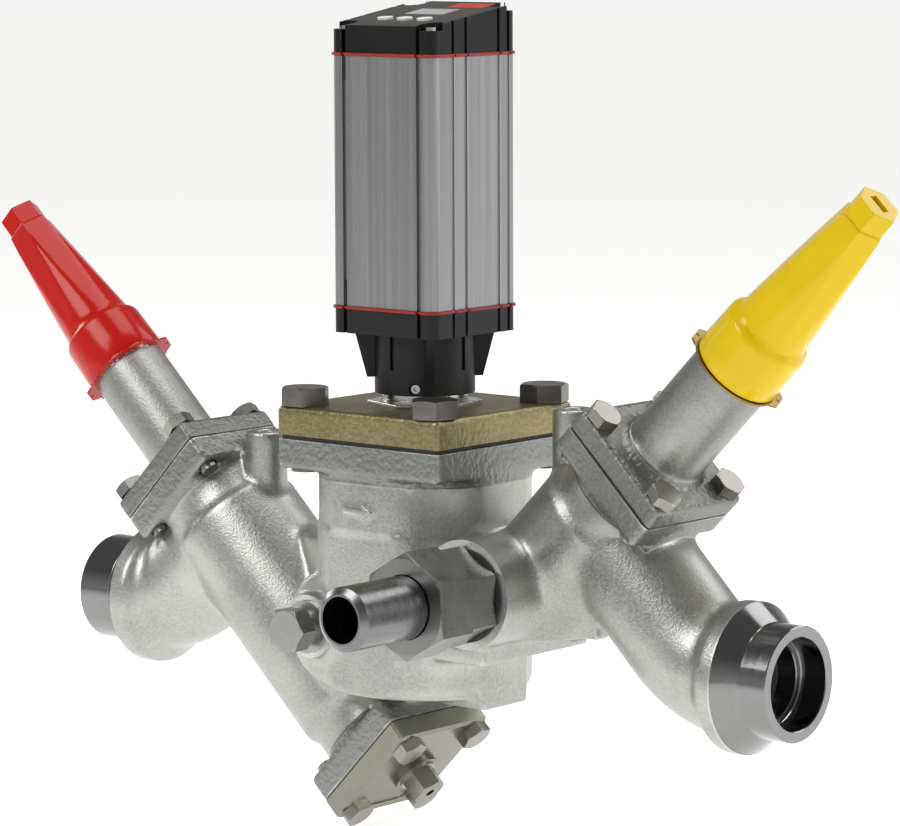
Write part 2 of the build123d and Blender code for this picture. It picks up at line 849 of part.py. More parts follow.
def screw_cap():
    """Screw-on cap: skirt, rounded shoulder, facetted cone and hexagon tip with a slot across it."""
    shoulder_z = cap_skirt_length + cap_shoulder_rise
    outer = turned(
        [
            (0, 0),
            (cap_skirt_radius, 0),
            (cap_shoulder_radius, cap_skirt_length - cap_shoulder_round),
            (cap_shoulder_radius - cap_shoulder_round / 2, cap_skirt_length + cap_shoulder_round / 2),
            (cap_cone_base_radius, shoulder_z),
            (cap_cone_tip_radius, cap_hex_start),
            (0, cap_hex_start),
        ]
    )
    base = Pos(0, 0, shoulder_z) * RegularPolygon(cap_cone_base_radius, 6, major_radius=False)
    tip = Pos(0, 0, cap_hex_start) * RegularPolygon(cap_facet_across / 2, 6, major_radius=False)
    facets = loft([base, tip], ruled=True)
    skirt = outer & block(3 * cap_skirt_radius, 3 * cap_skirt_radius, 0, shoulder_z)
    body = skirt + (outer & facets) + hex_bar(cap_hex_across, cap_hex_start, cap_length)
    seat_z = cap_seat_height + clamp_gap
    chamber_z = seat_z + cap_thread_length + seal_plate_gap
    cavity_top = cap_length - cap_tip_wall - cap_slot_depth
    cavity = turned(
        [
            (0, 0),
            (cap_skirt_radius - cap_wall, 0),
            (cap_skirt_radius - cap_wall, seat_z),
            (cap_thread_radius + cap_play, seat_z),
            (cap_thread_radius + cap_play, chamber_z),
            (cap_chamber_radius, shoulder_z),
            (cap_tip_cavity_radius, cavity_top),
            (0, cavity_top),
        ]
    )
    slot = block(cap_slot_length, cap_slot_width, cap_length - cap_slot_depth, cap_length)
    return body - cavity - slot


def seal_plate(wing_angle, scallops):
    """Thin seal ring below the cap with two drilled wings; the plastic one has a scalloped rim."""
    bottom = skirt_end - seal_plate_gap - seal_plate_thickness
    plate = disc(seal_plate_rim, 0, seal_plate_thickness)
    bite = Pos(seal_plate_rim + seal_scallop_radius / 2, 0, 0)
    bite = bite * disc(seal_scallop_radius, 0, seal_plate_thickness)
    for index in range(scallops):
        plate = plate - Rot(0, 0, 360 * index / scallops) * bite
    wings = block(2 * seal_wing_reach, seal_wing_width, 0, seal_plate_thickness)
    wings = chamfer(wings.edges().filter_by(Axis.Z), seal_plate_rim / 8)
    hole = disc(seal_wing_hole, 0, seal_plate_thickness)
    for side in (-1, 1):
        wings = wings - Pos(side * seal_wing_hole_reach, 0, 0) * hole
    plate = plate + Rot(0, 0, wing_angle) * wings
    return Pos(0, 0, bottom) * (plate - disc(bonnet_seat_radius + fit_play, 0, seal_plate_thickness))


def strainer_cover():
    """Strainer cover with the drain neck, its threaded hole and a bare oval recess for a label."""
    neck_top = plate_top + drain_neck_height
    cover = small_cover() + disc(drain_neck_radius, plate_top, neck_top)
    cover = cover - disc(drain_thread_radius + thread_play, neck_top - drain_thread_length - 1, neck_top)
    cover = cover - disc(drain_bore_radius, -cover_spigot, neck_top)
    oval = extrude(SlotOverall(label_length, label_width, rotation=90), label_depth)
    return cover - Pos(label_shift, 0, plate_top - label_depth) * oval


def drain_plug():
    """Drain plug with a hexagon head and a small centre recess."""
    seat = plate_top + drain_neck_height + drain_washer
    top = seat + drain_head_length
    plug = crowned_hex(drain_across, seat, top, head_chamfer)
    plug = plug + disc(drain_thread_radius, seat - drain_thread_length, seat)
    return plug - disc(drain_recess_radius, top - drain_recess_depth, top)


def strainer_frame_part():
    """Strainer frame: two end rings joined by bars."""
    inner = strainer_radius - strainer_ring_wall
    bars = ring(inner + strainer_bar_wall, inner, -strainer_depth, -cover_spigot)
    spoke = Pos(inner, 0, 0) * block(inner, strainer_bar_width, -strainer_depth, 0)
    spokes = [Rot(0, 0, 360 * index / strainer_bar_count) * spoke for index in range(strainer_bar_count)]
    bars = bars & Compound(children=spokes)
    far_ring = ring(strainer_radius, inner, -strainer_depth, -strainer_depth + strainer_ring_height)
    near_ring = ring(strainer_radius, inner, -cover_spigot - strainer_ring_height, -cover_spigot)
    return far_ring + near_ring + bars


def strainer_mesh():
    """Mesh sleeve between the end rings of the strainer."""
    inner = strainer_radius - strainer_ring_wall + strainer_bar_wall + thread_play
    bottom = -strainer_depth + strainer_ring_height
    return ring(inner + mesh_wall, inner, bottom, -cover_spigot - strainer_ring_height)


def motor_gasket():
    """Gasket of the motor valve port, set in from the flange edge."""
    top = port_height + big_gasket
    sheet = square_plate(big_flange - 2 * big_gasket_inset, big_corner_radius, port_height, top)
    for corner in corners(big_bolt_pitch):
        sheet = sheet - corner * disc(big_bolt_radius + fit_play, port_height, top)
    return sheet - disc(column_bore_radius, port_height, top)


def motor_cover():
    """Top cover of the motor valve with its spigot, spindle bearing and adapter thread."""
    bottom = port_height + big_gasket
    plate = square_plate(big_flange, big_corner_radius, bottom, cover_top_z)
    plate = chamfer(plate.edges().group_by(Axis.Z)[-1], rim_chamfer)
    plate = plate + disc(column_bore_radius - fit_play, port_height - motor_cover_spigot, bottom)
    for corner in corners(big_bolt_pitch):
        plate = plate - corner * disc(big_bolt_radius + fit_play, bottom, cover_top_z)
    thread_bottom = cover_top_z - adapter_thread_length
    plate = plate - disc(adapter_thread_radius + thread_play, thread_bottom, cover_top_z)
    return plate - disc(motor_spindle_radius + spindle_play, port_height - motor_cover_spigot, cover_top_z)


def motor_cage():
    """Cage in the column bore: seat plate below, guide bore above and windows between."""
    top = port_height - motor_cover_spigot - clamp_gap
    outer = column_bore_radius - fit_play
    inner = outer - cage_wall
    cage = ring(outer, inner, cage_bottom_z, top)
    seat_top = cage_seat_z + cage_seat_thickness
    cage = cage + ring(outer, cage_seat_radius, cage_seat_z, seat_top)
    for index in range(cage_window_count):
        window = block(outer, cage_window_width, cage_window_z, cage_window_z + cage_window_height)
        cage = cage - Rot(0, 0, 360 * index / cage_window_count) * Pos(outer, 0, 0) * window
    return cage


def motor_cone():
    """Moving cone of the motor valve: seat plug, stem and guide piston, bored for the spindle."""
    inner = column_bore_radius - fit_play - cage_wall
    piston_top = motor_piston_z + motor_piston_height
    cone = disc(motor_plug_radius, motor_plug_z, motor_plug_z + motor_plug_height)
    cone = cone + disc(motor_stem_radius, motor_plug_z, motor_piston_z)
    cone = cone + disc(inner - fit_play, motor_piston_z, piston_top)
    return cone - disc(motor_spindle_radius + spindle_play, motor_plug_z + motor_bore_floor, piston_top)


def motor_spindle():
    """Turning spindle of the motor valve with its thrust collar and inner magnet."""
    bottom = motor_plug_z + motor_bore_floor + motor_stroke + motor_spindle_gap
    collar_z = cover_top_z - adapter_thread_length + clamp_gap
    rod = disc(motor_spindle_radius, bottom, magnet_z)
    collar = disc(thrust_collar_radius, collar_z, collar_z + thrust_collar_height)
    return rod + collar + disc(magnet_radius, magnet_z, magnet_z + magnet_height)


def actuator_adapter():
    """Adapter screwed into the cover: hexagon, turned ring, clamp boss and the sealed tube."""
    tube_top = cover_top_z + adapter_tube_top
    inner = adapter_tube_radius - adapter_tube_wall
    shank_bottom = cover_top_z - adapter_thread_length
    body = disc(adapter_thread_radius, shank_bottom, cover_top_z)
    body = body + crowned_hex(adapter_across, cover_top_z, ring_bottom_z, adapter_ring_height)
    body = body + disc(adapter_ring_radius, ring_bottom_z, collar_bottom_z)
    body = body + disc(adapter_boss_radius, collar_bottom_z, collar_bottom_z + adapter_boss_height)
    body = body + disc(adapter_tube_radius, collar_bottom_z, tube_top)
    return body - disc(inner, shank_bottom, tube_top - adapter_tube_wall)


def actuator_outline(grow):
    """Grooved outline of the actuator housing, grown all round by a margin."""
    width = actuator_x_size + 2 * grow
    outline = RectangleRounded(width, actuator_y_size + 2 * grow, actuator_corner + grow)
    for side in (-1, 1):
        edge_y = side * (actuator_y_size / 2 + grow)
        for place in (-front_groove_offset, front_groove_offset):
            outline = outline - Pos(place, edge_y, 0) * Rectangle(front_groove_width, 2 * groove_depth)
        edge_x = side * (actuator_x_size / 2 + grow)
        for place in side_groove_places:
            outline = outline - Pos(edge_x, place, 0) * Rectangle(2 * side_groove_depth, side_groove_width)
    return outline


def actuator_cavity():
    """Inner outline of the actuator shells."""
    wall = actuator_wall
    return RectangleRounded(actuator_x_size - 2 * wall, actuator_y_size - 2 * wall, actuator_corner - wall)


def screw_places():
    """Corner places of the top cap screws."""
    reach_x = actuator_x_size / 2 - corner_screw_inset
    reach_y = actuator_y_size / 2 - corner_screw_inset
    return [(sx * reach_x, sy * reach_y) for sx in (-1, 1) for sy in (-1, 1)]


def actuator_neck():
    """Round collar with corner ribs and slots, and the hollow lower cap it carries."""
    collar = disc(collar_radius, collar_bottom_z, lower_cap_z)
    low = collar_bottom_z + rib_start
    points = [(0, 0, low), (rib_foot_radius, 0, low), (rib_top_radius, 0, lower_cap_z), (0, 0, lower_cap_z)]
    rib = extrude(make_face(Polyline(points, close=True)), rib_thickness / 2, both=True)
    slot_bottom = collar_bottom_z + collar_slot_start
    slot = block(2 * collar_slot_depth, collar_slot_width, slot_bottom, lower_cap_z)
    slot = Pos(collar_radius, 0, 0) * slot
    for index in range(4):
        collar = collar + Rot(0, 0, 45 + 90 * index) * rib - Rot(0, 0, 90 * index) * slot
    tray = Pos(0, 0, lower_cap_z) * extrude(actuator_outline(0), lower_cap_height)
    hollow = extrude(actuator_cavity(), lower_cap_height - lower_cap_floor)
    tray = tray - Pos(0, 0, lower_cap_z + lower_cap_floor) * hollow
    neck = collar + tray - disc(collar_bore_radius, collar_bottom_z, lower_seal_z)
    recess_start = collar_radius - set_screw_recess_depth
    for place in set_screw_places():
        neck = neck - place * disc(set_screw_radius + thread_play, 0, collar_radius)
        neck = neck - place * disc(set_screw_recess, recess_start, collar_radius + 1)
    return column_frame * neck


def set_screw_places():
    """Radial places of the three set screws, local Z pointing outward."""
    height = collar_bottom_z + set_screw_height
    angles = [set_screw_angle - 90 + 120 * index for index in range(3)]
    return [Location((0, 0, height)) * Rot(0, 0, angle) * Rot(0, 90, 0) for angle in angles]


def set_screws():
    """The three set screws that clamp the collar on the adapter."""
    end = collar_radius - set_screw_recess_depth
    screw = disc(set_screw_radius, adapter_boss_radius, end)
    screw = screw - hex_bar(2 * set_screw_socket, end - set_screw_radius, end)
    return column_frame * Compound(children=[place * screw for place in set_screw_places()])


def cord_seal(bottom):
    """Red cord seal that bulges round the housing and follows its grooves."""
    band = actuator_outline(seal_bulge) - actuator_cavity()
    return column_frame * Pos(0, 0, bottom) * extrude(band, seal_cord)


def housing():
    """Extruded housing with screw bosses in its corners and rails for the circuit board."""
    section = actuator_outline(0) - actuator_cavity()
    for x, y in screw_places():
        section = section + (Pos(x, y, 0) * Circle(screw_boss_radius) & actuator_outline(0))
    wall_x = actuator_x_size / 2 - actuator_wall
    gap = board_thickness / 2 + board_play
    for side in (-1, 1):
        for step in (-1, 1):
            y = board_place + step * (gap + rail_width / 2)
            rail = Pos(side * (wall_x - rail_depth / 2), y, 0) * Rectangle(rail_depth, rail_width)
            section = section + rail
    for x, y in screw_places():
        section = section - Pos(x, y, 0) * Circle(top_screw_shank + thread_play)
    return column_frame * Pos(0, 0, housing_z) * extrude(section, housing_height)


def cap_height(y):
    """Height of the top cap's sloping face above its seat at a depth position."""
    return top_front_height + (y + actuator_y_size / 2) / actuator_y_size * top_rise


def pocket_floor(y):
    """Level of a corner pocket's floor in the top cap."""
    return top_cap_z + cap_height(y - corner_pocket_radius) - corner_pocket_depth


def top_cap():
    """Hollow top cap with its sloping face, corner pockets, panel recess and key holes."""
    tall = top_cap_z + top_back_height + top_rise
    body = Pos(0, 0, top_cap_z) * extrude(actuator_outline(0), tall - top_cap_z)
    inside = Pos(0, 0, top_cap_z) * extrude(actuator_cavity(), tall - top_cap_z)
    local = Pos(0, 0, top_middle_z) * Rot(top_slope, 0, 0)
    reach = 2 * actuator_x_size
    body = body - local * block(reach, reach, 0, reach)
    inside = inside - local * block(reach, reach, -panel_thickness - actuator_wall, reach)
    body = body - inside
    for x, y in screw_places():
        post = Pos(x, y, 0) * disc(corner_screw_inset, top_cap_z, pocket_floor(y))
        body = body + (post & Pos(0, 0, top_cap_z) * extrude(actuator_outline(0), tall - top_cap_z))
    for x, y in screw_places():
        body = body - Pos(x, y, 0) * disc(corner_pocket_radius, pocket_floor(y), tall)
        body = body - Pos(x, y, 0) * disc(top_screw_shank + thread_play, top_cap_z, tall)
    recess = extrude(panel_outline(fit_play), panel_thickness + 1)
    body = body - local * Pos(0, 0, -panel_thickness) * recess
    key_hole = extrude(Ellipse(key_length / 2 + key_play, key_width / 2 + key_play), reach)
    for x in key_places:
        body = body - local * Pos(x, key_row, -2 * actuator_wall) * key_hole
    x, y = display_place
    window = Pos(x, y, -display_depth) * extrude(Rectangle(display_length, display_width), reach)
    body = body - local * window
    ceiling = -panel_thickness - actuator_wall
    keypad_post = disc(keypad_post_radius, ceiling - keypad_drop, ceiling)
    for sx in (-1, 1):
        for sy in (-1, 1):
            place = Pos(sx * post_reach(keypad_length), sy * post_reach(keypad_width) - keypad_shift, 0)
            body = body + local * place * keypad_post
    for frame in connector_frames():
        body = body - frame * disc(connector_radius - 1 + fit_play, -2 * actuator_wall, 1)
    return column_frame * body


def post_reach(size):
    """Distance of the keypad posts from the middle of the keypad board."""
    return size / 2 - 2 * keypad_post_radius


def connector_frames():
    """Places of the two rear connectors, local Z pointing out of the back wall."""
    height = top_cap_z + top_back_height / 2
    places = (-connector_spacing / 2, connector_spacing / 2)
    return [Plane(origin=(x, actuator_y_size / 2, height), z_dir=(0, 1, 0)).location for x in places]


def panel_outline(margin):
    """Outline of the front panel, notched round the corner pockets."""
    outline = Rectangle(
        actuator_x_size - 2 * panel_inset + 2 * margin,
        actuator_y_size / cos(radians(top_slope)) - 2 * panel_inset + 2 * margin,
    )
    for x, y in screw_places():
        notch = corner_pocket_radius + panel_inset / 2 - margin
        outline = outline - Pos(x, y / cos(radians(top_slope)), 0) * Circle(notch)
    return outline


def top_panel():
    """Thin front panel with the window opening and the three key holes."""
    panel = Pos(0, 0, -panel_thickness) * extrude(panel_outline(0), panel_thickness)
    for x in key_places:
        hole = extrude(Ellipse(key_length / 2 + key_play, key_width / 2 + key_play), panel_thickness)
        panel = panel - Pos(x, key_row, -panel_thickness) * hole
    x, y = display_place
    opening = extrude(Rectangle(display_length, display_width), panel_thickness)
    return panel_frame * (panel - Pos(x, y, -panel_thickness) * opening)


def display_window():
    """Display behind its window, flush with the panel."""
    x, y = display_place
    pane = extrude(Rectangle(display_length - 2 * key_play, display_width - 2 * key_play), display_depth)
    return panel_frame * Pos(x, y, -display_depth) * pane


def front_key(x):
    """Oval key with a retaining flange under the cap's face."""
    underside = -panel_thickness - actuator_wall
    flange_top = underside - key_flange_gap
    flange_bottom = flange_top - key_flange_height
    stem = extrude(Ellipse(key_length / 2, key_width / 2), key_proud - flange_bottom)
    stem = Pos(0, 0, flange_bottom) * stem
    flange = Pos(0, 0, flange_bottom) * extrude(
        Ellipse(key_length / 2 + key_flange, key_width / 2 + key_flange), key_flange_height
    )
    return panel_frame * Pos(x, key_row, 0) * (stem + flange)


def keypad_board():
    """Keypad board hung from the cap's posts, with a dome switch under each key."""
    top = -panel_thickness - actuator_wall - keypad_drop
    plate = block(keypad_length, keypad_width, top - keypad_thickness, top)
    plate = Pos(0, -keypad_shift, 0) * plate
    dome_top = top + keypad_drop - key_flange_height - key_travel - 2 * key_flange_gap
    for x in key_places:
        plate = plate + Pos(x, key_row, 0) * disc(key_width / 3, top, dome_top)
    return panel_frame * plate


def top_screws():
    """The four screws that hold the top cap on the housing."""
    screws = []
    for x, y in screw_places():
        floor = pocket_floor(y)
        head = disc(top_screw_radius, floor, floor + top_screw_height)
        head = head - Pos(0, 0, floor + top_screw_height / 2) * extrude(
            RegularPolygon(top_screw_shank, 6), top_screw_height
        )
        shank = disc(top_screw_shank, top_cap_z - top_screw_length, floor)
        screws.append(Pos(x, y, 0) * (head + shank))
    return column_frame * Compound(children=screws)


def rotor():
    """Outer magnet cup on the motor shaft, turning round the sealed tube."""
    inner = adapter_tube_radius + rotor_play
    tube_top = cover_top_z + adapter_tube_top
    bottom = collar_bottom_z + adapter_boss_height + bracket_gap
    lid = tube_top + bracket_gap
    cup = ring(inner + rotor_wall, inner, bottom, lid)
    cup = cup + disc(inner + rotor_wall, lid, lid + rotor_wall)
    shaft_top = motor_z() + motor_shaft_reach
    return column_frame * (cup + disc(motor_shaft_radius, lid, shaft_top))


def motor_z():
    """Height of the motor's mounting face."""
    return cover_top_z + adapter_tube_top + bracket_gap + rotor_wall + bracket_gap + bracket_thickness


def motor_bracket():
    """Plate and four posts that carry the motor over the lower cap."""
    top = motor_z()
    floor = lower_cap_z + lower_cap_floor
    plate = block(bracket_x_size, bracket_y_size, top - bracket_thickness, top)
    plate = plate - disc(bracket_bore_radius, top - bracket_thickness, top)
    reach_x = bracket_x_size / 2 - bracket_post_radius
    reach_y = bracket_y_size / 2 - bracket_post_radius
    post = disc(bracket_post_radius, floor, top - bracket_thickness)
    notch = disc(bracket_post_radius, top - bracket_thickness, top)
    for sx in (-1, 1):
        for sy in (-1, 1):
            plate = plate + Pos(sx * reach_x, sy * reach_y, 0) * post
            plate = plate - Pos(sx * bracket_x_size / 2, sy * bracket_y_size / 2, 0) * notch
    return column_frame * plate


def motor():
    """Stepper motor on its bracket, bored for the rotor shaft."""
    bottom = motor_z()
    body = disc(motor_radius, bottom, bottom + motor_body_height)
    body = chamfer(body.edges().group_by(Axis.Z)[-1], rim_chamfer)
    bore = disc(motor_shaft_radius + motor_shaft_play, bottom, bottom + motor_shaft_reach + 1)
    return column_frame * (body - bore)


def circuit_board():
    """Circuit board standing in the housing rails."""
    width = actuator_x_size - 2 * actuator_wall - 2 * board_play
    bottom = housing_z + board_bottom
    board = block(width, board_thickness, bottom, bottom + board_height)
    return column_frame * Pos(0, board_place, 0) * board


def rear_connectors():
    """Two round cable connectors on the back of the top cap."""
    body = disc(connector_radius - 1, -actuator_wall, 0) + disc(connector_radius, 0, connector_length)
    body = body - disc(connector_radius - 2, connector_length / 3, connector_length)
    body = body + disc(1, connector_length / 3, connector_length - 1)
    return column_frame * Compound(children=[frame * body for frame in connector_frames()])


def nipple():
    """Nipple screwed into the side port, with its hexagon and the threaded end under the nut."""
    hex_top = side_washer_thickness + nipple_hex_length
    body = disc(side_thread_radius, -side_thread_depth, side_washer_thickness)
    hexagon = hex_bar(nipple_across, side_washer_thickness, hex_top)
    body = body + Rot(0, 0, 30) * (hexagon & disc(nipple_corner_radius, side_washer_thickness, hex_top))
    body = body + disc(nipple_end_radius, hex_top, hex_top + nipple_end_length)
    return side_frame * (body - disc(side_bore_radius, -side_thread_depth, hex_top + nipple_end_length))


def union_nut():
    """Union nut that draws the stub onto the nipple."""
    bottom = side_washer_thickness + nipple_hex_length + union_play
    top = bottom + union_length
    lip = side_washer_thickness + nipple_hex_length + nipple_end_length + stub_collar_length + fit_play
    nut = Rot(0, 0, 30) * crowned_hex(union_across, bottom, top, union_chamfer)
    nut = nut - disc(nipple_end_radius + thread_play, bottom, lip)
    return side_frame * (nut - disc(stub_diameter / 2 + union_play, lip, top))


def weld_stub():
    """Weld stub with its collar inside the nut, a relief at the nut and a bevelled weld end."""
    bottom = side_washer_thickness + nipple_hex_length + nipple_end_length
    nut_top = side_washer_thickness + nipple_hex_length + union_play + union_length
    top = nut_top + stub_visible
    outer = stub_diameter / 2
    bevel_width = outer - side_bore_radius - stub_land
    bevel_height = bevel_width * tan(radians(bevel_angle))
    points = [
        (side_bore_radius, bottom),
        (stub_collar_radius, bottom),
        (stub_collar_radius, bottom + stub_collar_length),
        (outer - stub_relief, bottom + stub_collar_length),
        (outer - stub_relief, nut_top + stub_relief_reach),
        (outer, nut_top + stub_relief_reach),
        (outer, top - bevel_height),
        (outer - bevel_width, top),
        (side_bore_radius, top),
    ]
    return side_frame * turned(points)


def side_plug():
    """Side plug with its hexagon head."""
    seat = plug_washer_thickness + plug_neck_length
    neck = disc(plug_neck_radius, plug_washer_thickness, seat)
    head = crowned_hex(plug_across, seat, seat + plug_head_length, plug_chamfer)
    thread = disc(plug_thread_radius, plug_washer_thickness - plug_thread_length, plug_washer_thickness)
    return plug_frame * (head + neck + thread)


parts = {"valve_body": valve_body()}

stop_valves = (
    ("inlet", inlet_frame, red_wing_angle, seal_scallops),
    ("outlet", outlet_frame, yellow_wing_angle, 0),
)
for side, frame, wing_angle, scallops in stop_valves:
    parts[side + "_bonnet_gasket"] = frame * small_gasket_sheet()
    parts[side + "_bonnet"] = frame * bonnet()
    parts[side + "_bonnet_bolts"] = frame * small_bolts()
    parts[side + "_packing_ring"] = frame * packing_ring()
    parts[side + "_packing_gland"] = frame * packing_gland()
    parts[side + "_spindle"] = frame * spindle()
    parts[side + "_cone"] = frame * valve_cone()
    parts[side + "_cone_seal"] = frame * cone_seal()
    parts[side + "_seal_plate"] = frame * seal_plate(wing_angle, scallops)
    parts[side + "_cap"] = frame * Pos(0, 0, skirt_end) * screw_cap()

parts["strainer_gasket"] = strainer_frame * small_gasket_sheet()
parts["strainer_cover"] = strainer_frame * strainer_cover()
parts["strainer_bolts"] = strainer_frame * small_bolts()
parts["drain_washer"] = strainer_frame * flat_washer(
    drain_washer_radius, drain_thread_radius, plate_top + drain_neck_height, drain_washer
)
parts["drain_plug"] = strainer_frame * drain_plug()
parts["strainer_frame"] = strainer_frame * strainer_frame_part()
parts["strainer_mesh"] = strainer_frame * strainer_mesh()

parts["motor_cover_gasket"] = column_frame * motor_gasket()
parts["motor_cover"] = column_frame * motor_cover()
cover_bolt = hex_bolt(big_bolt_radius, big_bolt_length, big_head_across, big_head_height)
parts["motor_cover_bolts"] = column_frame * bolt_set(big_bolt_pitch, cover_top_z, cover_bolt)
parts["motor_cage"] = column_frame * motor_cage()
parts["motor_cone"] = column_frame * motor_cone()
parts["motor_spindle"] = column_frame * motor_spindle()
parts["actuator_adapter"] = column_frame * actuator_adapter()

parts["actuator_neck"] = actuator_neck()
parts["collar_screws"] = set_screws()
parts["lower_seal"] = cord_seal(lower_seal_z)
parts["actuator_housing"] = housing()
parts["upper_seal"] = cord_seal(upper_seal_z)
parts["top_cap"] = top_cap()
parts["top_screws"] = top_screws()
parts["top_panel"] = top_panel()
parts["display_window"] = display_window()
for name, place in zip(("left_key", "middle_key", "right_key"), key_places):
    parts[name] = front_key(place)
parts["keypad_board"] = keypad_board()
parts["rotor"] = rotor()
parts["motor_bracket"] = motor_bracket()
parts["motor"] = motor()
parts["circuit_board"] = circuit_board()
parts["rear_connectors"] = rear_connectors()

parts["side_washer"] = side_frame * flat_washer(
    side_washer_radius, side_thread_radius, 0, side_washer_thickness
)
parts["nipple"] = nipple()
parts["union_nut"] = union_nut()
parts["weld_stub"] = weld_stub()
parts["plug_washer"] = plug_frame * flat_washer(
    plug_washer_radius, plug_thread_radius, 0, plug_washer_thickness
)
parts["side_plug"] = side_plug()

os.makedirs("parts", exist_ok=True)
for name, shape in parts.items():
    export_step(shape, f"parts/{name}.step")
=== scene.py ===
import json
import logging
import math
from dataclasses import dataclass
from enum import Enum
from functools import cached_property
from typing import Sequence

import bmesh
import bpy
import numpy as np
from mathutils import Matrix, Vector

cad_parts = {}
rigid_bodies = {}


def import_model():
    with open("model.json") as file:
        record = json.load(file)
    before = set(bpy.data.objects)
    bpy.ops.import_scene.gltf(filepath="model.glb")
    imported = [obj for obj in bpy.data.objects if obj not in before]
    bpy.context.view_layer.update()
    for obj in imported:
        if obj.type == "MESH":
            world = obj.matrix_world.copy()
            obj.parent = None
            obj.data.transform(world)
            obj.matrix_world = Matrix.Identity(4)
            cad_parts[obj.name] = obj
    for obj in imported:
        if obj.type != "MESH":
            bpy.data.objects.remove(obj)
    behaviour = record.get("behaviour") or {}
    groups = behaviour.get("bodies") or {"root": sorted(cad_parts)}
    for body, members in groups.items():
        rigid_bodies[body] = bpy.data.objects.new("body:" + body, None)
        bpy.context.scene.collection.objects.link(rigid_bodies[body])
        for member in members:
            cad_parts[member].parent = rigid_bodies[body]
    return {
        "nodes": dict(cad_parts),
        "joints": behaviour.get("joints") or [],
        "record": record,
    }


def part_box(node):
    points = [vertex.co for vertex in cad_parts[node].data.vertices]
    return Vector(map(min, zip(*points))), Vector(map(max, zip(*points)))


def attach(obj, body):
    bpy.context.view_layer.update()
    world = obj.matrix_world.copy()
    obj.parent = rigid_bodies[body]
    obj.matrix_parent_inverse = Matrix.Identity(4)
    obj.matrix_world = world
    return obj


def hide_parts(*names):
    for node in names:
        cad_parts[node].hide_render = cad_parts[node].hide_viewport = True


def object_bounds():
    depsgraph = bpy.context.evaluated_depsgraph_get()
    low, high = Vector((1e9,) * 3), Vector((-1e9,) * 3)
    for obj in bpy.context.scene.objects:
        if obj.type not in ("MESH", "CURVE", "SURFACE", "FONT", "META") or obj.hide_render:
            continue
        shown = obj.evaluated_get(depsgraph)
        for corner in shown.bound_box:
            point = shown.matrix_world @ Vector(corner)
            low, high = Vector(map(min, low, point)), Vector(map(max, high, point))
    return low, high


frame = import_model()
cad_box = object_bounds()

log = logging.getLogger("valve_station")
logging.basicConfig(level=logging.INFO, format="%(name)s: %(message)s")

Pair = tuple[float, float]
Triple = tuple[float, float, float]
Mesh = bmesh.types.BMesh
Vert = bmesh.types.BMVert
Edge = bmesh.types.BMEdge
Face = bmesh.types.BMFace
Socket = bpy.types.NodeSocket

NODES = frame["nodes"]
JOINTS = {joint["name"]: joint for joint in frame["joints"]}
MOUNTS = {mount["name"]: mount for mount in frame["record"]["mounts"]}

# Sizes of the casting that several pieces share, in metres
MOTOR_PORT_HEIGHT = 0.1085
BARREL_LENGTH = 0.2067
SMALL_PITCH = 0.055

# How far a point may lie off a flat face in metres, and how alike the directions of two flat faces are
FLAT_GAP = 2e-4
FLAT_MATCH = 0.999


def frame_at(origin: Sequence[float], outward: Sequence[float]) -> Matrix:
    """Frame at a point. Its local Y leans to the station's +Y, or to +Z where it looks along Y.

    Args:
        origin: The frame's origin in metres.
        outward: Direction of the local Z axis.

    Returns:
        The frame as a matrix.
    """
    up = Vector(outward).normalized()
    across = Vector((0, 1, 0)) if abs(up.y) < 0.9 else Vector((0, 0, 1))
    side = across.cross(up).normalized()
    turn = Matrix((side, up.cross(side), up)).transposed().to_4x4()
    return Matrix.Translation(Vector(origin)) @ turn


def port_frame(side: str, cap: str) -> Matrix:
    """Frame of the stop valve port on a side and under a cap, its origin on the gasket plane."""
    return frame_at(JOINTS[side + "_spindle_turn"]["pos_m"], JOINTS[cap + "_cap_lift"]["axis"])


def raised(place: Matrix, height: float) -> Matrix:
    """The same frame, moved along its own Z axis."""
    return place @ Matrix.Translation((0, 0, height))


def flipped(place: Matrix) -> Matrix:
    """The same frame, with its Z axis turned to the other side."""
    return place @ Matrix.Rotation(math.pi, 4, "X")


def corners(place: Matrix, pitch: float) -> list[Matrix]:
    """Frames of the four bolts of a square port."""
    return [place @ Matrix.Translation((x * pitch / 2, y * pitch / 2, 0)) for x in (-1, 1) for y in (-1, 1)]


INLET = port_frame("inlet", "red")
OUTLET = port_frame("outlet", "yellow")
COLUMN_X = JOINTS["rotor_turn"]["pos_m"][0]
COLUMN = Matrix.Translation((COLUMN_X, 0, 0))
MOTOR_PORT = raised(COLUMN, MOTOR_PORT_HEIGHT)
STRAINER = frame_at(
    INLET.to_translation() - BARREL_LENGTH * INLET.col[2].to_3d(), -INLET.col[2].to_3d()
)
STUB = MOUNTS["side_stub"]
SIDE_PORT = frame_at((STUB["pos_m"][0], -0.064, STUB["pos_m"][2]), STUB["axis"])
PLUG_PORT = frame_at((0.2035, -0.058, 0.0063), (0, -1, 0))


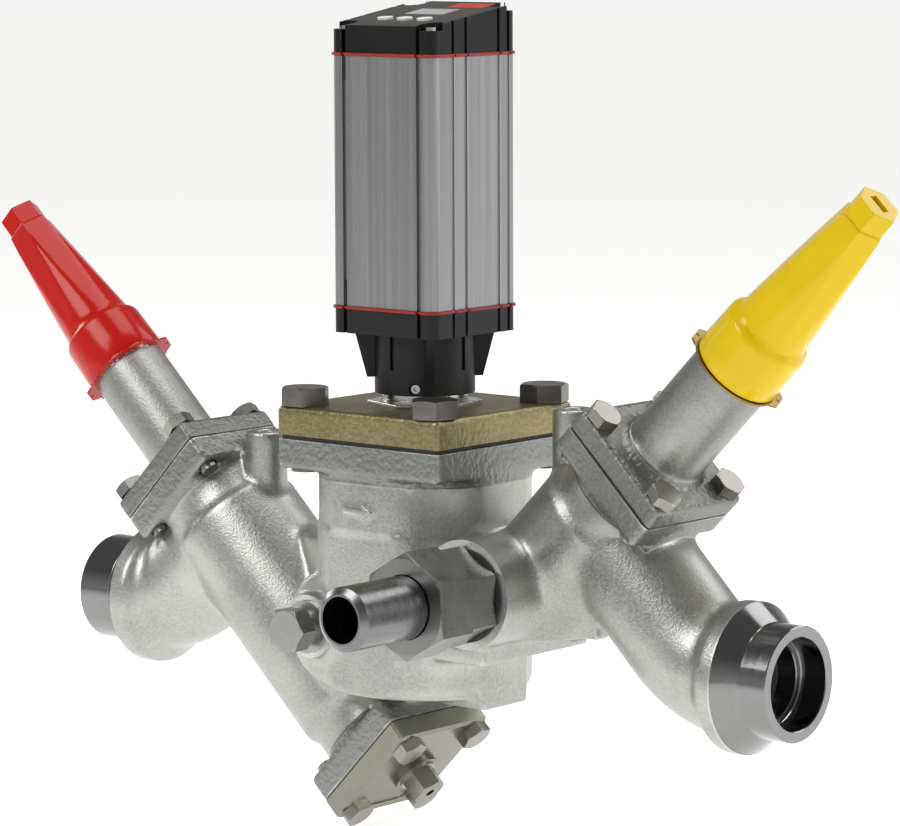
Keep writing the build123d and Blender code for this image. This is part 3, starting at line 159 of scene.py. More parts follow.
class Graph:
    """Node tree of a material or of the world, with short calls for the nodes that are used here."""

    def __init__(self, owner: bpy.types.Material | bpy.types.World) -> None:
        """Switches the owner's nodes on."""
        owner.use_nodes = True
        self.owner, self.tree = owner, owner.node_tree

    def feed(self, node: bpy.types.Node, inputs: dict[str | int, object]) -> bpy.types.Node:
        """Links or sets inputs of a node.

        Args:
            node: The node.
            inputs: A socket or a constant for each input, by name or by place.

        Returns:
            The same node.
        """
        for key, value in inputs.items():
            if isinstance(value, Socket):
                self.tree.links.new(value, node.inputs[key])
            else:
                node.inputs[key].default_value = value
        return node

    def node(self, kind: str, inputs: dict[str | int, object], out: str | int = 0, **settings: str) -> Socket:
        """Adds a node.

        Args:
            kind: Blender's name of the node, without ShaderNode.
            inputs: A socket or a constant for each input that isn't left as it is.
            out: Name or place of the output that is wanted.
            settings: Choices of the node, such as its operation.

        Returns:
            The output.
        """
        node = self.tree.nodes.new("ShaderNode" + kind)
        for key, value in settings.items():
            setattr(node, key, value)
        return self.feed(node, inputs).outputs[out]

    def coordinates(self, place: Matrix | None = None, stretch: Triple = (1, 1, 1)) -> Socket:
        """Object coordinates in metres, turned into a local frame and stretched.

        Args:
            place: Frame whose axes the pattern follows, or None for the station's own.
            stretch: Factor along each local axis.

        Returns:
            The vector.
        """
        vector = self.node("TexCoord", {}, "Object")
        if place is not None:
            back = place.inverted()
            turn = {"Location": back.to_translation(), "Rotation": back.to_euler("XYZ")}
            vector = self.node("Mapping", {"Vector": vector, **turn})
        if stretch != (1, 1, 1):
            vector = self.node("Mapping", {"Vector": vector, "Scale": stretch})
        return vector

    def noise(self, vector: Socket, scale: float, detail: float, rough: float) -> Socket:
        """Fractal noise, from about 0.3 to 0.7."""
        inputs = {"Vector": vector, "Scale": scale, "Detail": detail, "Roughness": rough}
        return self.node("TexNoise", inputs, "Fac")

    def cells(self, vector: Socket, scale: float, smooth: float = 0.6) -> Socket:
        """Rounded cell pattern, as on a blasted or cast skin."""
        inputs = {"Vector": vector, "Scale": scale, "Smoothness": smooth}
        return self.node("TexVoronoi", inputs, "Distance", feature="SMOOTH_F1")

    def waves(self, vector: Socket, scale: float, axis: str) -> Socket:
        """Parallel flutes across one axis."""
        bands = {"wave_type": "BANDS", "bands_direction": axis, "wave_profile": "SIN"}
        return self.node("TexWave", {"Vector": vector, "Scale": scale}, "Fac", **bands)

    def span(self, value: Socket, low: float, high: float, start: float, end: float) -> Socket:
        """Maps the range from low to high onto the one from start to end, clamped."""
        inputs = {"Value": value, "From Min": low, "From Max": high, "To Min": start, "To Max": end}
        return self.node("MapRange", inputs)

    def blend(self, factor: Socket, first: Socket | Triple, second: Socket | Triple) -> Socket:
        """Mixes two colours or colour sockets by a factor."""
        first, second = (part if isinstance(part, Socket) else (*part, 1) for part in (first, second))
        return self.node("Mix", {0: factor, 6: first, 7: second}, 2, data_type="RGBA")

    def sums(self, first: Socket, second: Socket, weight: float) -> Socket:
        """Adds a weighted second value to the first."""
        return self.node("Math", {0: second, 1: weight, 2: first}, operation="MULTIPLY_ADD")

    def pair(self, operation: str, first: Socket, second: Socket | float) -> Socket:
        """Works on two values, such as to multiply them."""
        return self.node("Math", {0: first, 1: second}, operation=operation)

    def edges(self, low: float = 0.53, high: float = 0.62) -> Socket:
        """Mask of the worn, outward edges of a finely meshed piece."""
        return self.span(self.node("NewGeometry", {}, "Pointiness"), low, high, 0, 1)

    def split(self, vector: Socket) -> Sequence[Socket]:
        """The three parts of a vector."""
        return tuple(self.node("SeparateXYZ", {0: vector}).node.outputs)

    def inside(self, place: Matrix, middle: float, half: Triple, wall: float = 0.001) -> Socket:
        """Mask that is 1 inside a box with soft walls.

        Args:
            place: Frame whose axes the box follows.
            middle: Height of the box's middle along the frame's Z axis.
            half: Half sizes of the box in metres.
            wall: Width over which the mask falls to 0.

        Returns:
            The mask.
        """
        spot = self.coordinates(raised(place, middle))
        size = self.node("VectorMath", {0: spot}, operation="ABSOLUTE")
        x, y, z = self.split(self.node("VectorMath", {0: size, 1: half}, operation="SUBTRACT"))
        most = self.pair("MAXIMUM", self.pair("MAXIMUM", x, y), z)
        return self.span(most, 0, wall, 1, 0)

    def relief(self, height: Socket, depth: float, before: Socket | None = None) -> Socket:
        """Bump of a depth in metres, on top of another one where given."""
        below = {} if before is None else {"Normal": before}
        return self.node("Bump", {"Strength": 1.0, "Distance": depth, "Height": height, **below})

    def radius(self, vector: Socket) -> tuple[Socket, Socket]:
        """Distance from the local Z axis, and height along it."""
        x, y, z = self.split(vector)
        return self.node("VectorMath", {0: self.node("CombineXYZ", {0: x, 1: y})}, 1, operation="LENGTH"), z


class Look:
    """A kind of surface. Each kind says what goes into the shader's inputs."""

    def surface(self, graph: Graph) -> dict[str, object]:
        """Adds the kind's own nodes and gives the shader's inputs."""
        raise NotImplementedError

    def make(self, name: str) -> bpy.types.Material:
        """Builds the material of a given name."""
        graph = Graph(bpy.data.materials.new(name))
        graph.feed(graph.tree.nodes["Principled BSDF"], self.surface(graph))
        return graph.owner


def darker(colour: Triple, share: float) -> Triple:
    """A share of a colour's light."""
    return tuple(share * part for part in colour)


@dataclass(frozen=True)
class CastZinc(Look):
    """Cast steel skin under a zinc coat: pebbly, satin and cloudy, coarser and worn bright round the flanges, which
    also take a painted shade.
    """

    colour: Triple = (0.50, 0.508, 0.478)
    shade: Triple = (0.31, 0.317, 0.297)
    worn: Triple = (0.66, 0.67, 0.63)
    # Painted shade of the flanges: a darker colour that stands in for their darker reflections, and how far they are
    # pulled towards it
    flange_painted_shade: Triple = (0.17, 0.173, 0.163)
    flange_shade_share: float = 0.65
    flanges: tuple[tuple[Matrix, float, Triple], ...] = ()
    metallic: float = 0.88
    gloss: Pair = (0.31, 0.44)
    cloud: float = 14.0
    speckle: float = 620.0
    grain: float = 1000.0
    grain_depth: float = 0.00013
    coarse: float = 330.0
    coarse_depth: float = 0.0005
    swell: float = 45.0
    swell_depth: float = 0.00012

    def surface(self, graph: Graph) -> dict[str, object]:
        """Adds the nodes. The coarse skin and the painted shade are kept to the flanges; the coarse skin is
        everywhere where there are none.

        Args:
            graph: The material's nodes.

        Returns:
            The shader's inputs.
        """
        vector = graph.coordinates()
        speckle = graph.noise(vector, self.speckle, 3, 0.7)
        edge = graph.edges()
        tone = graph.sums(graph.noise(vector, self.cloud, 4, 0.6), speckle, 0.9)
        plain = graph.blend(graph.span(tone, 0.72, 1.18, 0, 1), self.shade, self.colour)
        swell = graph.relief(graph.noise(vector, self.swell, 2, 0.5), self.swell_depth)
        pebbles = graph.sums(graph.noise(vector, self.grain, 2, 0.5), graph.cells(vector, self.grain * 0.6), 0.6)
        hammer = graph.sums(graph.noise(vector, self.coarse, 3, 0.6), graph.cells(vector, self.coarse), 0.7)
        if self.flanges:
            mask, *others = [graph.inside(*box) for box in self.flanges]
            for other in others:
                mask = graph.sums(other, mask, 1.0)
            # Painted shade: inside the flange boxes the colour is pulled towards a darker one, standing in for the
            # flanges' darker reflections
            plain = graph.blend(graph.pair("MULTIPLY", mask, self.flange_shade_share), plain, self.flange_painted_shade)
            hammer = graph.pair("MULTIPLY", mask, hammer)
        return {
            "Base Color": graph.blend(edge, plain, self.worn),
            "Metallic": self.metallic,
            "Roughness": graph.span(graph.sums(speckle, edge, -0.3), 0.3, 0.65, *self.gloss),
            "Normal": graph.relief(hammer, self.coarse_depth, graph.relief(pebbles, self.grain_depth, swell)),
        }


@dataclass(frozen=True)
class TurnedSteel(Look):
    """Steel turned on a lathe: fine rings round an axis and a dark sheen."""

    axis: Matrix
    colour: Triple
    gloss: Pair
    pitch: float = 0.0004
    depth: float = 0.00001
    smear: float = 90.0

    def surface(self, graph: Graph) -> dict[str, object]:
        """Adds the nodes.

        Args:
            graph: The material's nodes.

        Returns:
            The shader's inputs.
        """
        vector = graph.coordinates(self.axis)
        reach, height = graph.radius(vector)
        spot = graph.node("CombineXYZ", {0: reach, 1: height})
        rings = graph.noise(spot, 1 / self.pitch, 3, 0.7)
        broad = graph.noise(spot, 0.12 / self.pitch, 2, 0.6)
        cloud = graph.sums(broad, graph.noise(vector, self.smear, 3, 0.6), 0.7)
        return {
            "Base Color": graph.blend(graph.span(rings, 0.3, 0.7, 0, 1), darker(self.colour, 0.86), self.colour),
            "Metallic": 1.0,
            "Roughness": graph.span(cloud, 0.6, 1.1, *self.gloss),
            "Normal": graph.relief(rings, self.depth),
        }


@dataclass(frozen=True)
class MilledSteel(Look):
    """Flat metal faces with a fine straight grain, as on nuts, bolt heads and covers."""

    colour: Triple
    shade: Triple
    gloss: Pair
    along: Matrix | None = None
    stretch: Triple = (1.0, 1.0, 0.08)
    grain: float = 1500.0
    stain: float = 95.0
    depth: float = 0.00001

    def surface(self, graph: Graph) -> dict[str, object]:
        """Adds the nodes.

        Args:
            graph: The material's nodes.

        Returns:
            The shader's inputs.
        """
        grain = graph.noise(graph.coordinates(self.along, self.stretch), self.grain, 3, 0.65)
        stain = graph.noise(graph.coordinates(), self.stain, 4, 0.65)
        tone = graph.span(graph.sums(stain, grain, 0.35), 0.4, 1.0, 0, 1)
        return {
            "Base Color": graph.blend(tone, self.shade, self.colour),
            "Metallic": 1.0,
            "Roughness": graph.span(stain, 0.35, 0.65, *self.gloss),
            "Normal": graph.relief(grain, self.depth),
        }


@dataclass(frozen=True)
class BrushedAluminium(Look):
    """Anodised extrusion: fine upright flutes and drawn lines."""

    colour: Triple = (0.36, 0.36, 0.362)
    gloss: Pair = (0.32, 0.42)
    metallic: float = 0.95
    stretch: Triple = (1, 1, 0.004)
    line: float = 2200.0
    line_depth: float = 0.000008
    band: float = 260.0
    flute: float = 0.0016
    flute_depth: float = 0.00008
    flute_reach: float = 0.0245

    def surface(self, graph: Graph) -> dict[str, object]:
        """Adds the nodes. The flutes run up the middle of each side.

        Args:
            graph: The material's nodes.

        Returns:
            The shader's inputs.
        """
        vector = graph.coordinates(COLUMN, self.stretch)
        lines = graph.noise(vector, self.line, 2, 0.6)
        bands = graph.noise(vector, self.band, 2, 0.6)
        waves = graph.waves(vector, math.tau / (self.flute * 20), "X")
        flutes = graph.pair("MULTIPLY", waves, graph.inside(COLUMN, 0.2, (self.flute_reach, 0.05, 0.2)))
        tone = graph.span(graph.sums(lines, bands, 0.8), 0.65, 1.15, 0, 1)
        return {
            "Base Color": graph.blend(tone, darker(self.colour, 0.8), self.colour),
            "Metallic": self.metallic,
            "Roughness": graph.span(bands, 0.35, 0.65, *self.gloss),
            "Normal": graph.relief(flutes, self.flute_depth, graph.relief(lines, self.line_depth)),
        }


@dataclass(frozen=True)
class Moulded(Look):
    """Moulded plastic or rubber with a fine skin."""

    colour: Triple
    gloss: Pair
    skin: float = 900.0
    skin_depth: float = 0.00006
    drift: float = 0.12
    coat: float = 0.0
    level: float = 0.5
    coat_gloss: float = 0.08
    cloud: float = 25.0

    def surface(self, graph: Graph) -> dict[str, object]:
        """Adds the nodes.

        Args:
            graph: The material's nodes.

        Returns:
            The shader's inputs.
        """
        vector = graph.coordinates()
        slow = graph.noise(vector, self.cloud, 3, 0.55)
        skin = graph.noise(vector, self.skin, 2, 0.5)
        worn = tuple(min(1.0, part * (1 + self.drift) + 0.01 * self.drift) for part in self.colour)
        return {
            "Base Color": graph.blend(graph.span(slow, 0.3, 0.7, 0, 1), darker(self.colour, 1 - self.drift), worn),
            "Roughness": graph.span(graph.sums(slow, skin, 0.6), 0.5, 1.1, *self.gloss),
            "Coat Weight": self.coat,
            "Coat Roughness": self.coat_gloss,
            "Specular IOR Level": self.level,
            "Normal": graph.relief(skin, self.skin_depth),
        }


class Slot(Enum):
    """The record's material slots, as named by the finishes of the scene's own pieces."""

    CASTING = "zinc_casting"
    GOLD = "gold_zinc"
    BOLT = "dark_bolt_steel"
    PLATED = "plated_steel"
    COVER = "cover_steel"
    TURNED = "turned_steel"
    BLACK = "black_plastic"
    HOUSING = "housing_aluminium"
    RED = "cap_red"
    YELLOW = "cap_yellow"
    SEAL = "seal_red"
    GASKET = "gasket_black"


# Half sizes of the square flanges, and the flanges of the casting and the bonnets that are coarse and carry a
# painted shade
SMALL_FLANGE = (0.038, 0.038, 0.0095)
BIG_FLANGE = (0.061, 0.061, 0.0105)
CASTING_FLANGES = (
    *((port, -0.0085, SMALL_FLANGE) for port in (INLET, OUTLET, STRAINER)), (MOTOR_PORT, -0.010, BIG_FLANGE),
)
BONNET_FLANGES = tuple((port, 0.0065, SMALL_FLANGE) for port in (INLET, OUTLET))


class Finish(Enum):
    """The station's finishes: name of the material, how it looks, and the slot of the pieces that are made here."""

    CASTING = "zinc casting", CastZinc(flanges=CASTING_FLANGES), Slot.CASTING
    RIM = "zinc bonnet", CastZinc(
        (0.42, 0.425, 0.40), (0.27, 0.275, 0.258), metallic=0.92, gloss=(0.36, 0.48), flanges=BONNET_FLANGES,
    ), Slot.CASTING
    GOLD = "gold zinc cover", CastZinc(
        (0.35, 0.295, 0.145), (0.21, 0.18, 0.095), (0.58, 0.53, 0.36), metallic=0.9, gloss=(0.32, 0.44),
        coarse=300.0, coarse_depth=0.00035,
    ), Slot.GOLD
    BOLT = "bolt steel", MilledSteel((0.24, 0.228, 0.21), (0.15, 0.142, 0.13), (0.3, 0.42)), Slot.BOLT
    PLATED = "plated steel", MilledSteel((0.36, 0.345, 0.315), (0.24, 0.228, 0.205), (0.26, 0.38)), Slot.PLATED
    ZINC_BOLT = "zinc bolt", MilledSteel((0.36, 0.365, 0.35), (0.27, 0.275, 0.26), (0.24, 0.36)), Slot.PLATED
    COVER = "cover steel", MilledSteel((0.30, 0.295, 0.245), (0.22, 0.215, 0.18), (0.3, 0.42), INLET), Slot.COVER
    NUT = "nut steel", MilledSteel((0.25, 0.25, 0.243), (0.19, 0.19, 0.185), (0.26, 0.36), SIDE_PORT), Slot.TURNED
    TRIM = "trim steel", MilledSteel((0.6, 0.6, 0.6), (0.45, 0.45, 0.45), (0.16, 0.26)), Slot.TURNED
    BRASS = "gland brass", MilledSteel((0.74, 0.56, 0.28), (0.5, 0.36, 0.16), (0.24, 0.38))
    SOFT_METAL = "washer aluminium", MilledSteel((0.45, 0.45, 0.44), (0.34, 0.34, 0.33), (0.3, 0.42))
    BRONZE = "seal bronze", MilledSteel((0.4, 0.28, 0.1), (0.22, 0.15, 0.05), (0.3, 0.45))
    ALUMINIUM = "housing aluminium", BrushedAluminium(), Slot.HOUSING
    TURNED_SIDE = "turned side port", TurnedSteel(SIDE_PORT, (0.21, 0.21, 0.213), (0.22, 0.32)), Slot.TURNED
    TURNED_COLUMN = "turned adapter", TurnedSteel(COLUMN, (0.56, 0.56, 0.56), (0.14, 0.24)), Slot.TURNED
    TURNED_PIPE = "turned pipe end", TurnedSteel(
        frame_at((0, 0, 0), (1, 0, 0)), (0.26, 0.26, 0.258), (0.1, 0.2),
    ), Slot.TURNED
    RED = "red cap", Moulded((0.5, 0.008, 0.003), (0.18, 0.26), 240.0, 0.00004, 0.06, 0.1, 0.25), Slot.RED
    YELLOW = "yellow cap", Moulded((0.74, 0.51, 0.0), (0.18, 0.26), 240.0, 0.00004, 0.05, 0.1, 0.25), Slot.YELLOW
    RED_CORD = "red seal cord", Moulded((0.30, 0.012, 0.01), (0.4, 0.55), 900.0, 0.00005, 0.1), Slot.SEAL
    PATCH = "red patch", Moulded((0.55, 0.03, 0.02), (0.35, 0.45), 900.0, 0.00001, 0.05), Slot.SEAL
    BLACK = "black plastic", Moulded((0.006, 0.006, 0.0065), (0.38, 0.5), level=0.35), Slot.BLACK
    SHELL = "black cap plastic", Moulded(
        (0.003, 0.003, 0.0033), (0.24, 0.36), 700.0, 0.00002, 0.1, level=0.35,
    ), Slot.BLACK
    PANEL = "front panel", Moulded((0.045, 0.042, 0.035), (0.32, 0.42), 1500.0, 0.00002, 0.1, level=0.35)
    DISPLAY = "display", Moulded((0.42, 0.44, 0.43), (0.15, 0.25), 300.0, 0.00001, 0.04)
    KEY = "white key", Moulded((0.85, 0.85, 0.82), (0.3, 0.4), 600.0, 0.00002, 0.03)
    RUBBER = "black gasket", Moulded((0.022, 0.022, 0.022), (0.55, 0.7), 800.0, 0.00008, 0.2), Slot.GASKET
    SEAL = "white seal", Moulded((0.82, 0.81, 0.76), (0.4, 0.5), 500.0, 0.00002, 0.04)
    BOARD = "circuit board", Moulded((0.03, 0.2, 0.08), (0.3, 0.45), 400.0, 0.00004, 0.15)

    def __init__(self, title: str, look: Look, slot: Slot | None = None) -> None:
        """Keeps the parts of a finish."""
        self.title, self.look, self.slot = title, look, slot

    @cached_property
    def material(self) -> bpy.types.Material:
        """The finish's material, built at its first use."""
        return self.look.make(self.title)


def make_object(name: str, mesh: Mesh) -> bpy.types.Object:
    """Turns a bmesh into an object in the scene and frees it.

    Args:
        name: The object's name.
        mesh: The finished bmesh.

    Returns:
        The new object.
    """
    data = bpy.data.meshes.new(name)
    mesh.to_mesh(data)
    mesh.free()
    piece = bpy.data.objects.new(name, data)
    bpy.context.scene.collection.objects.link(piece)
    return piece


def evaluated(piece: bpy.types.Object) -> bpy.types.Mesh:
    """Mesh of a piece with its modifiers applied."""
    return bpy.data.meshes.new_from_object(piece.evaluated_get(bpy.context.evaluated_depsgraph_get()))


def present(
    piece: bpy.types.Object, finish: Finish, *nodes: str, body: str = "station", sharp: float = 40,
    flat: bool = False,
) -> None:
    """Dresses a finished piece, shades it smooth up to an angle, ties it to its body and hides the nodes that it
    stands for.

    Args:
        piece: The piece.
        finish: Its finish.
        nodes: CAD nodes that it stands for.
        body: The body that it rides on.
        sharp: Angle in degrees from which an edge stays sharp.
        flat: Whether large faces keep their own flat shading up to their rounds.
    """
    piece.data.materials.clear()
    piece.data.materials.append(finish.material)
    piece.data.shade_smooth()
    piece.data.set_sharp_from_angle(angle=math.radians(sharp))
    if flat:
        shading = piece.modifiers.new("flat faces", "WEIGHTED_NORMAL")
        shading.weight = 90
        shading.keep_sharp = True
    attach(piece, body)
    if nodes:
        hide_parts(*nodes)
    log.info("%s: %d faces", piece.name, len(piece.data.polygons))


def only(kind: type, geometry: Sequence) -> list:
    """The items of one kind, such as the vertices."""
    return [item for item in geometry if isinstance(item, kind)]


def cad_copy(node: str) -> Mesh:
    """Copies a CAD node with its loose triangles joined.

    Args:
        node: The node's name.

    Returns:
        The joined bmesh.
    """
    mesh = bmesh.new()
    mesh.from_mesh(NODES[node].data)
    bmesh.ops.remove_doubles(mesh, verts=mesh.verts, dist=1e-5)
    bmesh.ops.recalc_face_normals(mesh, faces=mesh.faces)
    return mesh


def extrude(mesh: Mesh, faces: Sequence[Face], way: Vector, keep: bool = False) -> None:
    """Extrudes faces by a vector.

    Args:
        mesh: The mesh.
        faces: The faces.
        way: How far they move.
        keep: Whether the faces also stay where they were.
    """
    grown = bmesh.ops.extrude_face_region(mesh, geom=faces, use_keep_orig=keep)["geom"]
    bmesh.ops.translate(mesh, vec=way, verts=only(Vert, grown))


def stretch_face(mesh: Mesh, place: Matrix, reach: float, wide: float = 0.08) -> None:
    """Lengthens a solid past one of its flat faces, so that the face can be cut crisp again later.

    Args:
        mesh: The solid.
        place: Frame whose XY plane holds the face.
        reach: How far the solid grows along the frame's Z axis.
        wide: Half the side of the square that holds the face.
    """
    normal, inverse = place.col[2].to_3d(), place.inverted()
    flat = []
    for face in mesh.faces:
        spots = [inverse @ vert.co for vert in face.verts]
        level = all(abs(spot.z) < FLAT_GAP and max(abs(spot.x), abs(spot.y)) < wide for spot in spots)
        if level and face.normal.dot(normal) > FLAT_MATCH:
            flat.append(face)
    extrude(mesh, flat, reach * normal)
    bmesh.ops.delete(mesh, geom=flat, context="FACES")


def add_bar(mesh: Mesh, place: Matrix, radius: float, low: float, high: float) -> None:
    """Adds a closed round bar along a frame's Z axis.

    Args:
        mesh: The bmesh that takes the bar.
        place: The frame.
        radius: The bar's radius.
        low: Start along Z.
        high: End along Z.
    """
    bmesh.ops.create_cone(
        mesh, cap_ends=True, segments=64, radius1=radius, radius2=radius, depth=high - low,
        matrix=raised(place, (low + high) / 2),
    )


def cut_flat(
    mesh: Mesh, place: Matrix, reach: float, close: bool = True, depth: float = 0.01, height: float = 0.09
) -> list[Edge]:
    """Cuts away what stands on a frame's XY plane and closes the cut with one flat face.

    Args:
        mesh: The solid.
        place: The frame; what is near its origin on its +Z side goes.
        reach: Half the side of the square that is cut.
        close: Whether the cut is filled.
        depth: How far below the plane a face may reach and still be cut.
        height: How far above the plane it may reach.

    Returns:
        The edges of the cut.
    """
    inverse, normal = place.inverted(), place.col[2].to_3d()
    near = {
        vert for vert in mesh.verts
        if max(abs((spot := inverse @ vert.co).x), abs(spot.y)) < reach and -depth < spot.z < height
    }
    faces = [face for face in mesh.faces if near.issuperset(face.verts)]
    edges = {edge for face in faces for edge in face.edges}
    verts = {vert for face in faces for vert in face.verts}
    cut = bmesh.ops.bisect_plane(
        mesh, geom=[*verts, *edges, *faces], dist=1e-7, plane_co=place.to_translation(), plane_no=normal,
        clear_outer=True,
    )["geom_cut"]
    rim = only(Edge, cut)
    if close:
        bmesh.ops.triangle_fill(mesh, use_beauty=True, use_dissolve=False, edges=rim, normal=normal)
    return rim


def spun(points: Sequence[Pair], place: Matrix, closed: bool = False) -> Mesh:
    """Turns a profile round a frame's Z axis.

    Args:
        points: Radius and height of each profile point, in millimetres.
        place: The frame.
        closed: Whether the last point joins the first, as on a ring; otherwise both ends lie on the axis.

    Returns:
        The turned solid.
    """
    mesh = bmesh.new()
    verts = [mesh.verts.new((radius / 1000, 0, height / 1000)) for radius, height in points]
    ends = verts[1:] + verts[:1] if closed else verts[1:]
    edges = [mesh.edges.new(pair) for pair in zip(verts, ends)]
    bmesh.ops.spin(
        mesh, geom=verts + edges, cent=(0, 0, 0), axis=(0, 0, 1), angle=math.tau, steps=96, use_merge=True
    )
    bmesh.ops.remove_doubles(mesh, verts=mesh.verts, dist=1e-6)
    bmesh.ops.recalc_face_normals(mesh, faces=mesh.faces)
    bmesh.ops.transform(mesh, matrix=place, verts=mesh.verts)
    return mesh


def round_edges(mesh: Mesh, edges: Sequence[Edge], width: float, segments: int) -> None:
    """Breaks edges with a small round.

    Args:
        mesh: The solid.
        edges: The edges.
        width: Width of the round in metres.
        segments: Number of facets across the round.
    """
    bmesh.ops.bevel(
        mesh, geom=edges, offset=width, offset_type="OFFSET", segments=segments, profile=0.5, affect="EDGES",
        material=-1, clamp_overlap=True,
    )


def soften(mesh: Mesh, width: float, segments: int = 2, angle: float = 30) -> Mesh:
    """Joins flat facets and breaks every sharp edge with a small round.

    Args:
        mesh: The solid.
        width: Width of the round in metres.
        segments: Number of facets across the round.
        angle: Angle in degrees from which an edge is sharp.

    Returns:
        The same bmesh.
    """
    bmesh.ops.dissolve_limit(mesh, angle_limit=math.radians(0.6), verts=mesh.verts, edges=mesh.edges)
    folded = [edge for edge in mesh.edges if len(edge.link_faces) == 2]
    sharp = [edge for edge in folded if edge.calc_face_angle(0) > math.radians(angle)]
    round_edges(mesh, sharp, width, segments)
    return mesh


def turn_bolts(mesh: Mesh, turns: Sequence[float]) -> None:
    """Turns each upright bolt of a set about its own axis.

    Args:
        mesh: The bolts.
        turns: Angle in degrees of each bolt, in the order of their X and then their Y.
    """
    left = set(mesh.verts)
    bolts = []
    while left:
        queue = [left.pop()]
        group = []
        while queue:
            vert = queue.pop()
            group.append(vert)
            near = {edge.other_vert(vert) for edge in vert.link_edges} & left
            left -= near
            queue.extend(near)
        low, high = (Vector(end(vert.co[axis] for vert in group) for axis in range(3)) for end in (min, max))
        bolts.append(((low + high) / 2, group))
    bolts.sort(key=lambda bolt: (round(bolt[0].x, 3), round(bolt[0].y, 3)))
    for (middle, group), turn in zip(bolts, turns):
        bmesh.ops.rotate(mesh, cent=middle, matrix=Matrix.Rotation(math.radians(turn), 3, "Z"), verts=group)


def hexagon(
    place: Matrix, across: float, low: float, high: float, turn: float, bore: float, width: float
) -> Mesh:
    """Makes a hexagonal ring with softened outer edges.

    Args:
        place: Frame whose Z axis is the ring's axis.
        across: Size across the flats in metres.
        low: Start along Z.
        high: End along Z.
        turn: Angle of a corner from the local Y axis, in degrees.
        bore: Radius of the round hole.
        width: Width of the edges' round.

    Returns:
        The ring.
    """
    mesh = bmesh.new()
    foot = Matrix.Translation((0, 0, low))
    spin = foot @ Matrix.Rotation(math.radians(turn), 4, "Z")
    outer = bmesh.ops.create_circle(mesh, radius=across / math.sqrt(3), segments=6, matrix=spin)["verts"]
    inner = bmesh.ops.create_circle(mesh, radius=bore, segments=72, matrix=foot)["verts"]
    edges = {edge for vert in outer + inner for edge in vert.link_edges}
    bmesh.ops.triangle_fill(mesh, use_beauty=True, edges=list(edges), normal=(0, 0, -1))
    extrude(mesh, list(mesh.faces), Vector((0, 0, high - low)), keep=True)
    bmesh.ops.recalc_face_normals(mesh, faces=mesh.faces)
    soften(mesh, width, 3)
    bmesh.ops.transform(mesh, matrix=place, verts=mesh.verts)
    return mesh


class CastSkin:
    """Even skin of small quads round solids that overlap, rounded and filled as a foundry does."""

    def __init__(self, solids: Mesh, size: float) -> None:
        """Wraps the solids.

        Args:
            solids: The solids, which are freed.
            size: Side of a quad in metres.
        """
        scratch = make_object("scratch", solids)
        wrap = scratch.modifiers.new("skin", "REMESH")
        wrap.mode = "VOXEL"
        wrap.voxel_size = size
        self.mesh = evaluated(scratch)
        bpy.data.objects.remove(scratch)
        self.count = len(self.mesh.vertices)
        flat = np.empty(self.count * 3)
        self.mesh.vertices.foreach_get("co", flat)
        self.points = flat.reshape(-1, 3)
        ends = np.empty(len(self.mesh.edges) * 2, dtype=np.int64)
        self.mesh.edges.foreach_get("vertices", ends)
        self.first, self.second = ends.reshape(-1, 2).T
        self.valence = self.total(np.ones(self.count))
        self.free = np.ones(self.count)

    def total(self, values: np.ndarray) -> np.ndarray:
        """Sums a value over each vertex's neighbours."""
        onto_first = np.bincount(self.first, values[self.second], self.count)
        return onto_first + np.bincount(self.second, values[self.first], self.count)

    def pull(self) -> np.ndarray:
        """Way from each vertex to the middle of its neighbours."""
        middle = np.stack([self.total(self.points[:, axis]) for axis in range(3)], axis=1)
        return middle / self.valence[:, None] - self.points

    def normals(self) -> np.ndarray:
        """Moves the mesh to the points and gives the outward unit normal of each vertex.

        Returns:
            The normals, one row each.
        """
        self.mesh.vertices.foreach_set("co", self.points.ravel())
        self.mesh.update()
        flat = np.empty(self.count * 3)
        self.mesh.vertex_normals.foreach_get("vector", flat)
        return flat.reshape(-1, 3)

    def pin(self, place: Matrix, radius: float, low: float, high: float) -> None:
        """Holds every vertex inside a cylinder along a frame's Z axis.

        Args:
            place: The frame.
            radius: The cylinder's radius.
            low: Its start along Z.
            high: Its end along Z.
        """
        inverse = np.array(place.inverted())
        local = self.points @ inverse[:3, :3].T + inverse[:3, 3]
        held = (np.hypot(local[:, 0], local[:, 1]) < radius) & (local[:, 2] > low) & (local[:, 2] < high)
        self.free[held] = 0

    def smooth(self, passes: int, share: float = 0.5) -> None:
        """Evens the skin both ways, which rounds its edges."""
        for _ in range(passes):
            self.points = self.points + share * self.free[:, None] * self.pull()

    def fill(self, passes: int, share: float = 0.8, renew: int = 4) -> None:
        """Moves the skin outwards only, which fills its creases with fillets.

        Args:
            passes: Number of steps.
            share: Share of the way to the neighbours' middle that a step takes.
            renew: Number of steps after which the normals are worked out again.
        """
        for step in range(passes):
            if step % renew == 0:
                normals = self.normals()
            outward = np.clip(np.einsum("ij,ij->i", self.pull(), normals), 0, None)
            self.points = self.points + (share * self.free * outward)[:, None] * normals

    def write(self) -> Mesh:
        """Writes the vertices back.

        Returns:
            The skin as a bmesh.
        """
        self.normals()
        skin = bmesh.new()
        skin.from_mesh(self.mesh)
        bpy.data.meshes.remove(self.mesh)
        return skin


@dataclass(frozen=True)
class Port:
    """A machined face of the casting: its frame, the radius of the plug in its bore, and half its square's side."""

    place: Matrix
    plug: float
    reach: float


